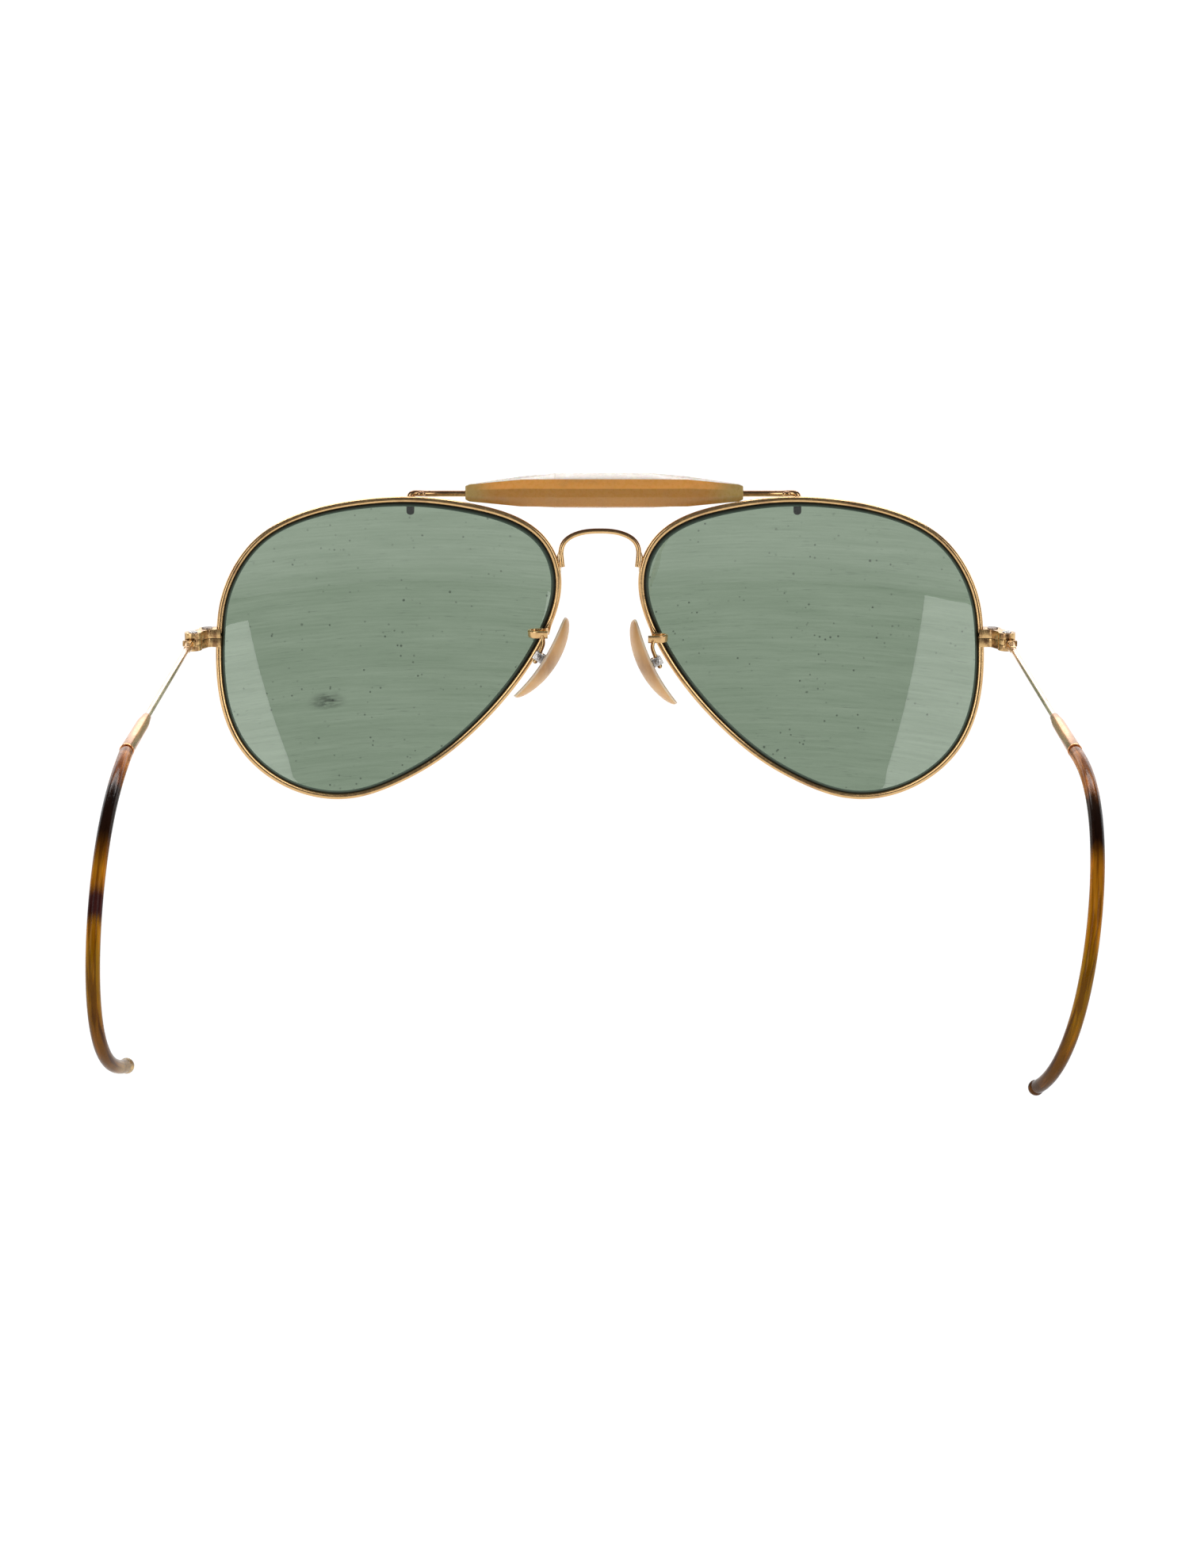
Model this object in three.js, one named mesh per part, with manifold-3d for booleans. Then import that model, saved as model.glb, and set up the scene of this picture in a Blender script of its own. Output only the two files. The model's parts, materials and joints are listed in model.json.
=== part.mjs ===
// Aviator sunglasses with a brow bar and cable temples, in millimetres, +Z up.
//
// Two frames are used. The glasses' own frame has +x to the wearer's left, +y back along the
// temples and +z up, with its origin midway between the two hinge pins at the height of the
// temple wires. Each half is drawn for the wearer's left and mirrored for the right. The
// finished glasses are then pitched so that they stand on the rims and on the ear hooks.
import * as THREE from 'three';
import { LoftGeometry } from 'three/addons/geometries/LoftGeometry.js';
import { mergeVertices } from 'three/addons/utils/BufferGeometryUtils.js';
import Module from 'manifold-3d';

// ---- Driving dimensions ----------------------------------------------------------------

const STAND_PITCH = 10.84; // degrees that the temples rise towards the back when standing

const FRONT_Y = -10.7; // lens poles, ahead of the hinge pins
const FRONT_Z = -2.3; // lens poles, below the temple wires
const FRONT_TILT = 7; // degrees that the front leans back at its lower edge

const LENS_X = 36.75; // lens pole to the middle of the nose
const LENS_WRAP = 5; // degrees that each lens is turned back at the temple
const LENS_CURVE = 88; // radius of the lens's spherical surfaces
const LENS_HALF = 1.0; // half the glass thickness
const LENS_RINGS = [0, 0.38, 0.72]; // steps from the pole to the edge
const LENS_SHOULDER = 1.42; // edge of the flat faces, inset from the rim's outside
const LENS_APEX = 0.74; // sharp edge of the bevel, in the rim's groove

// Outside of the rim around the lens pole, from the split at the temple over the top.
const RIM_OUTLINE = [
  [29.7, 2.6], [28.3, 10.3], [22.8, 18.7], [13.6, 23.5], [4.5, 25.3], [-4.6, 25.7],
  [-14.2, 24.55], [-22.2, 22.2], [-27.55, 17.9], [-29.7, 10.7], [-27.5, 2.1], [-22.6, -6.3],
  [-16.1, -13.85], [-9.1, -19.8], [-2.0, -23.8], [7.0, -26.5], [17.0, -24.8], [25.5, -18.1],
  [29.4, -8.2],
];
const RIM_STEPS = 48;
const RIM_SLIT = 0.1; // gap in the rim between the two lock blocks
// Half of the eyewire's section: inset from the outside, and half depth.
const RIM_SECTION = [[0, 0.2], [0.18, 0.46], [0.5, 0.54], [0.84, 0.46], [0.95, 0.37], [0.68, 0.04]];
const RIM_HALF = 0.54; // half the rim's depth, which its neighbours are cut back to
const RIM_LIP = 0.95;
const JOINT_GAP = 0.06; // between a rim and what is soldered to it
const CUTTER_REACH = 2.1; // how far over the lens a neighbour is trimmed

const BRIDGE_RADIUS = 0.46;
const BRIDGE_BOW = [
  [0, 2.6, 19.8], [2.5, 2.65, 19.65], [4.9, 2.8, 18.9], [6.25, 3.0, 17.75],
  [6.7, 3.2, 16.4], [6.65, 3.4, 15.0], [6.5, 3.5, 13.6],
];

const BROW_WIRE_RADIUS = 0.55;
const BROW_WIRE_SHIFT = -0.7; // the wire sits a little towards the wearer's right
const BROW_WIRE_END = [
  [25.0, 0.6, 26.15], [28.5, 0.6, 26.15], [31.2, 1.35, 26.2], [33.0, 1.95, 26.2],
  [33.5, 1.95, 25.8], [33.5, 1.4, 24.7], [33.5, 1.0, 23.6],
];

const BAR_SHIFT = -0.75;
const BAR_BACK = 2.15; // back face of the bar, measured from the lens poles
const BAR_HEIGHT = 26.3;
// Distance from the middle, half height of the back face, half height of the ridge, depth.
const BAR_STATIONS = [
  [0, 2.36, 3.4, 5.7], [8.5, 2.36, 3.35, 5.5], [14.4, 2.34, 2.85, 4.4],
  [23.3, 1.5, 1.62, 2.6], [24.0, 1.15, 1.25, 2.1],
];
const BAR_LOWER_RIDGE = 0.78; // the ridge below is this much of the ridge above
const BAR_BORE = 0.66;

const HINGE_X = 69.5; // hinge pin, from the middle
const HINGE_TOP = 2.0;
const HINGE_BOTTOM = -1.05;
const HINGE_LEAF = 1.0;
const HINGE_RADIUS = 1.45;
const PLAY = 0.04; // running clearance in the hinge
const RIM_SCREW = [67.5, -3.5]; // rim lock screw, seen from above
const RIM_SCREW_LOBE = 1.35;
const LOCK_INNER = 65.1;
const LOCK_FRONT = -4.85;
const LOCK_BACK = -2.0;
const NECK_WIDTH = 1.9;
const SCREW_RADIUS = 0.5;
const SCREW_BORE = 0.55;
const SCREW_HEAD_HEIGHT = 0.3;
const HINGE_SCREW_HEAD = 0.8;
const RIM_SCREW_HEAD = 0.95;

const TEMPLE_OFFSET = 0.5; // temple wire, outside the hinge pin
const LUG_END = 5.0;
const TEMPLE_WIRE_RADIUS = 0.5;
const TEMPLE_WIRE_END = 62;
const SLEEVE_START = 54.5;
const SLEEVE_END = 76.3;
const COVER_RADIUS = 1.04;
const COVER_BORE = 0.66;
const CORE_RADIUS = 0.5;
const CABLE_STEPS = 26;
const TIP_RADIUS = 1.18;

const PAD_ARM_THICKNESS = 0.5;
const PAD_ARM_HEIGHT = 1.3;
const PAD_ARM_STEPS = 22;
const PAD_LENGTH = 16.4;
const PAD_WIDTH = 7.8;
const PAD_THICKNESS = 2.0;
const PAD_BEND = 1.2; // how far the pad's ends curve away from the nose
const PAD_TURN = 12; // degrees that the pad faces back
const PAD_PIN = 1.3; // rocking axis, behind the pad
const PAD_EDGE = 0.35; // straight part of the pad's edge
const PAD_ARM_NECK = 0.7; // height of the strip where it comes down to the eye
const PAD_EYE = [0.75, 0.9]; // radius and width of the arm's eye
const PAD_TAIL = [0.42, 1.0]; // radius of the ball under the eye, and its distance
const PAD_SCREW = [0.3, 0.34]; // pin radius and its bore
const PAD_SCREW_HEAD = [0.55, 0.22]; // radius and height
const PAD_BOX = { base: 0.35, cheek: 0.4, gap: 1.1, length: 1.5, reach: 2.1 };

// What differs from one side to the other: the ear hooks and the nose pads are bent and set
// by hand. The temple runs straight, then its curvature grows over the ramp to 1 / radius.
// Sway moves it sideways by a w + b w^2 + c w^4, with w from 0 to 1 along the cable.
const SIDES = {
  left: {
    mirror: 1,
    temple: { straight: 69, ramp: 32, radius: 21.5, length: 148.2, sway: [-2.67, 12.52, -11.28] },
    pad: { pin: [10.5, -3.3, -2.9], splay: 32.5 },
  },
  right: {
    mirror: -1,
    temple: { straight: 68, ramp: 35, radius: 23, length: 146.5, sway: [4.48, -14.4, 1.54] },
    pad: { pin: [9.8, -3.3, -3.7], splay: 26 },
  },
};

const MATERIALS = {
  gold: { color: 0xc9a15c, roughness: 0.25, metalness: 1 },
  glass: { color: 0x8a9c88, roughness: 0.05, metalness: 0, transparent: true, opacity: 0.5 },
  browPlastic: { color: 0xc08a45, roughness: 0.35, metalness: 0 },
  padPlastic: { color: 0xe0b98a, roughness: 0.4, metalness: 0 },
  tortoise: { color: 0x7a4a12, roughness: 0.25, metalness: 0 },
  steel: { color: 0xb9b9bb, roughness: 0.3, metalness: 1 },
};

// ---- Tools -----------------------------------------------------------------------------

const wasm = await Module();
wasm.setup();
const radians = THREE.MathUtils.degToRad;
const vec = (x, y, z) => new THREE.Vector3(x, y, z);

function solidOf(geometry, matrix = new THREE.Matrix4()) {
  const bare = new THREE.BufferGeometry();
  bare.setAttribute('position', geometry.getAttribute('position').clone());
  bare.setIndex(geometry.index);
  bare.applyMatrix4(matrix);
  const merged = mergeVertices(bare, 1e-4);
  return new wasm.Manifold(new wasm.Mesh({
    numProp: 3,
    vertProperties: merged.attributes.position.array,
    triVerts: new Uint32Array(merged.index.array),
  }));
}

function geometryOf(solid) {
  const mesh = solid.getMesh();
  const geometry = new THREE.BufferGeometry();
  geometry.setAttribute('position', new THREE.BufferAttribute(mesh.vertProperties, 3));
  geometry.setIndex(new THREE.BufferAttribute(mesh.triVerts, 1));
  geometry.computeVertexNormals();
  return geometry;
}

// A closed loft through the sections, whichever way round they were drawn. Its ends are
// flat caps, or are left out where the first and last sections shrink to a point.
function loft(sections, capped = true) {
  const [first, second] = capped ? sections : sections.slice(1);
  const middle = (section) => section.reduce((sum, p) => sum.add(p), vec(0, 0, 0))
    .divideScalar(section.length);
  const start = middle(first);
  const onwards = middle(second).sub(start);
  const facing = vec(0, 0, 0);
  first.forEach((p, i) => {
    const next = first[(i + 1) % first.length];
    facing.add(p.clone().sub(start).cross(next.clone().sub(start)));
  });
  const ordered = facing.dot(onwards) > 0 ? sections : sections.map((s) => [...s].reverse());
  return new LoftGeometry(ordered, { capStart: capped, capEnd: capped });
}

function circle(radius, sides) {
  const points = [];
  for (let i = 0; i < sides; i++) {
    const angle = (2 * Math.PI * i) / sides;
    points.push(new THREE.Vector2(radius * Math.cos(angle), radius * Math.sin(angle)));
  }
  return points;
}

// A tube along a curve, with an optional bore.
function tube(curve, radius, sides, steps, bore = 0) {
  const section = new THREE.Shape(circle(radius, sides));
  if (bore) section.holes.push(new THREE.Path(circle(bore, sides).reverse()));
  return new THREE.ExtrudeGeometry(section, { steps, bevelEnabled: false, extrudePath: curve });
}

function smoothCurve(points) {
  return new THREE.CatmullRomCurve3(points.map((p) => (p.isVector3 ? p : vec(...p))));
}

// An upright cylinder or box between two heights, for the hinge's cut and joined pieces.
function post([x, y], radius, bottom, top, sides = 20) {
  const geometry = new THREE.CylinderGeometry(radius, radius, top - bottom, sides);
  geometry.rotateX(Math.PI / 2);
  geometry.translate(x, y, (top + bottom) / 2);
  return solidOf(geometry);
}

function block([x0, x1], [y0, y1], [z0, z1]) {
  const geometry = new THREE.BoxGeometry(x1 - x0, y1 - y0, z1 - z0);
  geometry.translate((x0 + x1) / 2, (y0 + y1) / 2, (z0 + z1) / 2);
  return solidOf(geometry);
}

// A straight bar from one plan point to another.
function neck([x0, y0], [x1, y1], width, bottom, top) {
  const length = Math.hypot(x1 - x0, y1 - y0);
  const geometry = new THREE.BoxGeometry(length, width, top - bottom);
  geometry.rotateZ(Math.atan2(y1 - y0, x1 - x0));
  geometry.translate((x0 + x1) / 2, (y0 + y1) / 2, (top + bottom) / 2);
  return solidOf(geometry);
}

// A slotted screw hanging down from its head's underside at the origin.
function screw(radius, length, headRadius, headHeight) {
  const profile = [
    [0, -length], [radius, -length], [radius, 0], [headRadius, 0],
    [headRadius, headHeight * 0.6], [headRadius * 0.75, headHeight], [0, headHeight],
  ];
  const body = new THREE.LatheGeometry(profile.map(([r, h]) => new THREE.Vector2(r, h)), 14);
  body.rotateX(Math.PI / 2);
  const slotWidth = headRadius * 0.14;
  const slot = block([-headRadius * 1.1, headRadius * 1.1], [-slotWidth, slotWidth],
    [headHeight * 0.45, headHeight * 1.5]);
  return geometryOf(solidOf(body).subtract(slot));
}

function mesh(name, geometry, material) {
  const made = new THREE.Mesh(geometry, new THREE.MeshStandardMaterial(MATERIALS[material]));
  made.name = name;
  return made;
}

// ---- Frames ----------------------------------------------------------------------------

// The leaning front, and the frame of one lens in it.
const frontFrame = new THREE.Matrix4().makeRotationX(radians(FRONT_TILT))
  .setPosition(0, FRONT_Y, FRONT_Z);
const lensFrame = new THREE.Matrix4().makeRotationZ(radians(LENS_WRAP))
  .setPosition(LENS_X, 0, 0);
const lensInGlasses = frontFrame.clone().multiply(lensFrame);

function group(matrix) {
  const made = new THREE.Group();
  matrix.decompose(made.position, made.quaternion, made.scale);
  return made;
}

// ---- Rims and lenses -------------------------------------------------------------------

// A point above the lens's middle surface at (u, v), pushed back along the surface's normal.
function onLens(u, v, back) {
  const sag = LENS_CURVE - Math.sqrt(LENS_CURVE ** 2 - u * u - v * v);
  const point = vec(u, sag, v);
  const inward = vec(0, LENS_CURVE, 0).sub(point).normalize();
  return point.addScaledVector(inward, back);
}

const rimOutline = new THREE.CatmullRomCurve3(
  RIM_OUTLINE.map(([u, v]) => vec(u, 0, v)), true, 'centripetal');

// The outline at one of its steps, moved in by inset and back by depth. The first and last
// steps stop short of the split.
function rimPoint(step, inset, depth, slit = 0) {
  const ends = slit / 2 / rimOutline.getLength();
  const t = THREE.MathUtils.clamp(step / RIM_STEPS, ends, 1 - ends);
  const point = rimOutline.getPointAt(t);
  const along = rimOutline.getTangentAt(t);
  return onLens(point.x - along.z * inset, point.z + along.x * inset, depth);
}

function rimSweep(section, slit) {
  const sections = [];
  for (let step = 0; step <= RIM_STEPS; step++) {
    sections.push(section.map(([inset, depth]) => rimPoint(step, inset, depth, slit)));
  }
  return loft(sections);
}

function bothSides(halfSection) {
  const mirrored = halfSection.map(([inset, depth]) => [inset, -depth]);
  return [...halfSection, ...mirrored.reverse()];
}

function rim() {
  return rimSweep(bothSides(RIM_SECTION), RIM_SLIT);
}

// A stretch of the rim and the lens's edge with a skin of clearance, for cutting what is
// soldered to the rim. The steps are counted round the outline from the split.
function rimCutter(fromStep, toStep, frame) {
  const g = JOINT_GAP;
  const [[, sideHalf], [corner, cornerHalf]] = RIM_SECTION;
  const section = bothSides([
    [-g, sideHalf + g / 2], [corner - g / 2, cornerHalf + g], [RIM_LIP / 2, RIM_HALF + g],
    [RIM_LIP, RIM_HALF + g], [LENS_SHOULDER, LENS_HALF + g],
    [LENS_SHOULDER + CUTTER_REACH, LENS_HALF + g],
  ]);
  const sections = [];
  for (let step = fromStep; step <= toStep; step++) {
    const wrapped = (step + RIM_STEPS) % RIM_STEPS;
    sections.push(section.map(([inset, depth]) => rimPoint(wrapped, inset, depth)));
  }
  return solidOf(loft(sections), frame);
}

function lens() {
  const ring = (inset, depth) => {
    const points = [];
    for (let step = 0; step < RIM_STEPS; step++) points.push(rimPoint(step, inset, depth));
    return points;
  };
  const flat = (fraction, depth) => {
    const points = [];
    for (let step = 0; step < RIM_STEPS; step++) {
      const rimmed = rimPoint(step, LENS_SHOULDER, 0);
      points.push(onLens(rimmed.x * fraction, rimmed.z * fraction, depth));
    }
    return points;
  };
  return loft([
    ...LENS_RINGS.map((fraction) => flat(fraction, -LENS_HALF)),
    ring(LENS_SHOULDER, -LENS_HALF), ring(LENS_APEX, 0), ring(LENS_SHOULDER, LENS_HALF),
    ...[...LENS_RINGS].reverse().map((fraction) => flat(fraction, LENS_HALF)),
  ], false);
}

// ---- Bridge, brow wire and brow bar ----------------------------------------------------

function mirroredPath(half) {
  const other = half.filter(([x]) => x !== 0).map(([x, y, z]) => [-x, y, z]);
  return smoothCurve([...other.reverse(), ...half]);
}

function bridge() {
  const bow = solidOf(tube(mirroredPath(BRIDGE_BOW), BRIDGE_RADIUS, 8, 26));
  const cutter = rimCutter(20, 30, lensFrame);
  const mirror = new THREE.Matrix4().makeScale(-1, 1, 1);
  const otherCutter = solidOf(mirrorGeometry(geometryOf(cutter), mirror));
  return geometryOf(bow.subtract(cutter).subtract(otherCutter));
}

// Mirrors a geometry and turns its faces back outwards.
function mirrorGeometry(geometry, mirror) {
  const made = geometry.clone().applyMatrix4(mirror);
  const index = made.index.array;
  for (let i = 0; i < index.length; i += 3) {
    [index[i + 1], index[i + 2]] = [index[i + 2], index[i + 1]];
  }
  return made;
}

function browWire() {
  return tube(mirroredPath(BROW_WIRE_END), BROW_WIRE_RADIUS, 8, 40);
}

// A bar of eight facets: three on the back, and a ridge above and below.
function browBar() {
  const sections = [];
  const ends = [...BAR_STATIONS].reverse().map(([x, ...rest]) => [-x, ...rest]);
  for (const [x, back, ridge, depth] of [...ends.slice(0, -1), ...BAR_STATIONS]) {
    const half = (ridgeHalf) => [
      [BAR_BACK, back * 0.31], [BAR_BACK - depth * 0.1, back],
      [BAR_BACK - depth * 0.42, ridgeHalf], [BAR_BACK - depth * 0.78, ridgeHalf * 0.86],
      [BAR_BACK - depth, ridgeHalf * 0.3],
    ];
    const below = half(ridge * BAR_LOWER_RIDGE).map(([y, z]) => [y, -z]).reverse();
    sections.push([...half(ridge), ...below].map(([y, z]) => vec(x, y, z + BAR_HEIGHT)));
  }
  const [, wireY, wireZ] = BROW_WIRE_END[0];
  const bore = new THREE.CylinderGeometry(BAR_BORE, BAR_BORE, 60, 10);
  bore.rotateZ(Math.PI / 2);
  bore.translate(0, wireY, wireZ);
  return geometryOf(solidOf(loft(sections)).subtract(solidOf(bore)));
}

// ---- Rim locks and hinges --------------------------------------------------------------

// One half of the split end piece. It closes the rim, and its outer lobe is a hinge leaf.
function endBlock(bottom, top) {
  const pin = [HINGE_X, 0];
  const knuckleSpace = post(pin, HINGE_RADIUS + 0.06, HINGE_BOTTOM + HINGE_LEAF,
    HINGE_TOP - HINGE_LEAF, 24);
  return geometryOf(
    block([LOCK_INNER, RIM_SCREW[0]], [LOCK_FRONT, LOCK_BACK], [bottom, top])
      .add(post(RIM_SCREW, RIM_SCREW_LOBE, bottom, top))
      .add(neck(RIM_SCREW, pin, NECK_WIDTH, bottom, top))
      .add(post(pin, HINGE_RADIUS, bottom, top))
      .subtract(knuckleSpace)
      .subtract(post(pin, SCREW_BORE, bottom - 1, top + 1, 12))
      .subtract(post(RIM_SCREW, SCREW_BORE, bottom - 1, top + 1, 12))
      .subtract(rimCutter(-3, 3, lensInGlasses)));
}

// The temple's own end: an eye between the two leaves, and a lug that narrows to the wire.
function templeKnuckle() {
  const eyeBottom = HINGE_BOTTOM + HINGE_LEAF + PLAY;
  const eyeTop = HINGE_TOP - HINGE_LEAF - PLAY;
  const lug = [
    [1.62, 0.43, 0.24, 0.8, 0.86], [2.6, 0.45, 0.14, 0.74, 0.78],
    [LUG_END, TEMPLE_OFFSET, 0, 0.58, 0.58],
  ].map(([y, x, z, halfWidth, halfHeight]) => circle(1, 8).map((p) => {
    const corner = 1 / Math.cos(Math.PI / 8);
    const turned = p.rotateAround(new THREE.Vector2(), Math.PI / 8).multiplyScalar(corner);
    return vec(HINGE_X + x + halfWidth * turned.x, y, z + halfHeight * turned.y);
  }));
  const pin = [HINGE_X, 0];
  return geometryOf(
    post(pin, HINGE_RADIUS, eyeBottom, eyeTop)
      .add(block([HINGE_X - 0.5, HINGE_X + 1.3], [0, 1.9], [eyeBottom, eyeTop]))
      .add(solidOf(loft(lug)))
      .subtract(post(pin, SCREW_BORE, eyeBottom - 1, eyeTop + 1, 12)));
}

function uprightScrew(name, [x, y], headRadius) {
  const length = HINGE_TOP - HINGE_BOTTOM;
  const made = mesh(name, screw(SCREW_RADIUS, length, headRadius, SCREW_HEAD_HEIGHT), 'steel');
  made.position.set(x, y, HINGE_TOP + PLAY);
  return made;
}

// ---- Temples ---------------------------------------------------------------------------

// Points of the temple's centre line between two distances from the hinge pin.
function templeStretch({ straight, ramp, radius, sway }, from, to, spacing) {
  const points = [];
  const count = Math.ceil((to - from) / spacing);
  const fine = 0.1;
  let [y, z, heading, s] = [0, 0, 0, 0];
  for (let i = 0; i <= count; i++) {
    const target = from + ((to - from) * i) / count;
    while (s < target - 1e-9) {
      const step = Math.min(fine, target - s);
      const curvature = THREE.MathUtils.clamp((s + step / 2 - straight) / ramp, 0, 1) / radius;
      heading += curvature * step;
      y += Math.cos(heading) * step;
      z -= Math.sin(heading) * step;
      s += step;
    }
    const w = Math.max(0, s - SLEEVE_END) / SLEEVE_END;
    const aside = sway[0] * w + sway[1] * w ** 2 + sway[2] * w ** 4;
    points.push(vec(HINGE_X + TEMPLE_OFFSET + aside, y, z));
  }
  return points;
}

function latheAlong(name, profile, sides, start, direction, material) {
  const outline = profile.map(([r, h]) => new THREE.Vector2(r, h));
  const made = mesh(name, new THREE.LatheGeometry(outline, sides), material);
  made.position.copy(start);
  made.quaternion.setFromUnitVectors(vec(0, 1, 0), direction);
  return made;
}

function temple(side, shape) {
  const made = new THREE.Group();
  const onAxis = (distance) => vec(HINGE_X + TEMPLE_OFFSET, distance, 0);
  const back = vec(0, 1, 0);
  made.add(mesh(`temple_knuckle_${side}`, templeKnuckle(), 'gold'));

  const wireStart = LUG_END + 0.05;
  const wireLength = TEMPLE_WIRE_END - wireStart;
  const wire = [
    [0, 0], [TEMPLE_WIRE_RADIUS, 0], [TEMPLE_WIRE_RADIUS, wireLength], [0, wireLength],
  ];
  made.add(latheAlong(`temple_wire_${side}`, wire, 10, onAxis(wireStart), back, 'gold'));

  const sleeveLength = SLEEVE_END - SLEEVE_START;
  const wireBore = TEMPLE_WIRE_RADIUS + 0.06;
  const seat = TEMPLE_WIRE_END - SLEEVE_START - 0.5;
  const sleeve = [
    [wireBore, 0], [0.72, 0], [0.8, 0.3], [0.98, 11], [1.06, sleeveLength - 0.3],
    [1.0, sleeveLength], [COVER_BORE, sleeveLength], [COVER_BORE, seat], [wireBore, seat],
    [wireBore, 0],
  ];
  made.add(latheAlong(`temple_sleeve_${side}`, sleeve, 14, onAxis(SLEEVE_START), back, 'gold'));

  const coverEnd = shape.length - TIP_RADIUS;
  const coreLine = smoothCurve(templeStretch(shape, TEMPLE_WIRE_END + 0.3, coverEnd - 1.8, 3));
  const core = tube(coreLine, CORE_RADIUS, 6, CABLE_STEPS);
  made.add(mesh(`cable_core_${side}`, core, 'steel'));
  const coverLine = smoothCurve(templeStretch(shape, SLEEVE_END + 0.05, coverEnd, 3));
  const cover = tube(coverLine, COVER_RADIUS, 8, CABLE_STEPS, COVER_BORE);
  made.add(mesh(`cable_cover_${side}`, cover, 'tortoise'));

  const [before, last] = templeStretch(shape, coverEnd - 0.2, coverEnd, 0.2);
  const outwards = last.clone().sub(before).normalize();
  const tip = [
    [0, -1.5], [CORE_RADIUS, -1.5], [CORE_RADIUS, 0.06], [TIP_RADIUS * 0.9, 0.06],
    [TIP_RADIUS, TIP_RADIUS * 0.45], [TIP_RADIUS * 0.87, TIP_RADIUS * 1.1],
    [TIP_RADIUS * 0.5, TIP_RADIUS * 1.5], [0, TIP_RADIUS * 1.62],
  ];
  made.add(latheAlong(`cable_tip_${side}`, tip, 10, last, outwards, 'tortoise'));
  return made;
}

// ---- Nose pads -------------------------------------------------------------------------

// The pad's own frame: x runs across the pad to the back, y towards the nose, z up the pad,
// with its origin in the middle of the pad's mounting face.
function padFrame({ pin, splay }) {
  const lean = radians(splay);
  const turn = radians(PAD_TURN);
  const flatNormal = vec(-Math.cos(lean), 0, -Math.sin(lean));
  const back = vec(0, 1, 0);
  const y = flatNormal.clone().multiplyScalar(Math.cos(turn)).addScaledVector(back, Math.sin(turn));
  const x = back.multiplyScalar(Math.cos(turn)).addScaledVector(flatNormal, -Math.sin(turn));
  const z = vec(0, 0, 0).crossVectors(x, y);
  const origin = vec(...pin).addScaledVector(y, PAD_PIN);
  return new THREE.Matrix4().makeBasis(x, y, z).setPosition(origin);
}

function nosePad() {
  const sections = [];
  const stations = [-1, -0.93, -0.75, -0.4, 0, 0.4, 0.75, 0.93, 1];
  for (const station of stations) {
    const roundness = Math.sqrt(Math.max(0.02, 1 - station ** 2));
    const width = (PAD_WIDTH / 2) * roundness ** 0.8;
    const thickness = 0.4 + (PAD_THICKNESS - 0.4) * roundness;
    const bend = -PAD_BEND * station ** 2;
    const dome = [];
    for (let i = 0; i <= 6; i++) {
      const angle = (Math.PI * i) / 6;
      dome.push([
        width * Math.cos(angle), PAD_EDGE + (thickness - PAD_EDGE) * Math.sin(angle),
      ]);
    }
    const outline = [[width * 0.85, 0], ...dome, [-width * 0.85, 0]];
    sections.push(outline.map(([x, y]) => vec(x, y + bend, (station * PAD_LENGTH) / 2)));
  }
  return loft(sections);
}

// The pin's hole through the pad box and the arm's eye.
function padPinBore() {
  const radius = PAD_SCREW[1];
  const geometry = new THREE.CylinderGeometry(radius, radius, 6, 10);
  geometry.rotateZ(Math.PI / 2);
  geometry.translate(0, -PAD_PIN, 0);
  return solidOf(geometry);
}

function padBox() {
  const { base, cheek, gap, length, reach } = PAD_BOX;
  const half = gap / 2 + cheek;
  const along = [-length / 2, length / 2];
  return geometryOf(
    block([-half, half], [-base - JOINT_GAP, -JOINT_GAP], along)
      .add(block([-half, -gap / 2], [-reach, -base], along))
      .add(block([gap / 2, half], [-reach, -base], along))
      .subtract(padPinBore()));
}

function padScrew() {
  const { cheek, gap } = PAD_BOX;
  const geometry = screw(PAD_SCREW[0], gap + 2 * cheek, ...PAD_SCREW_HEAD);
  geometry.rotateY(Math.PI / 2);
  geometry.translate(gap / 2 + cheek + PLAY, -PAD_PIN, 0);
  return geometry;
}

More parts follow.
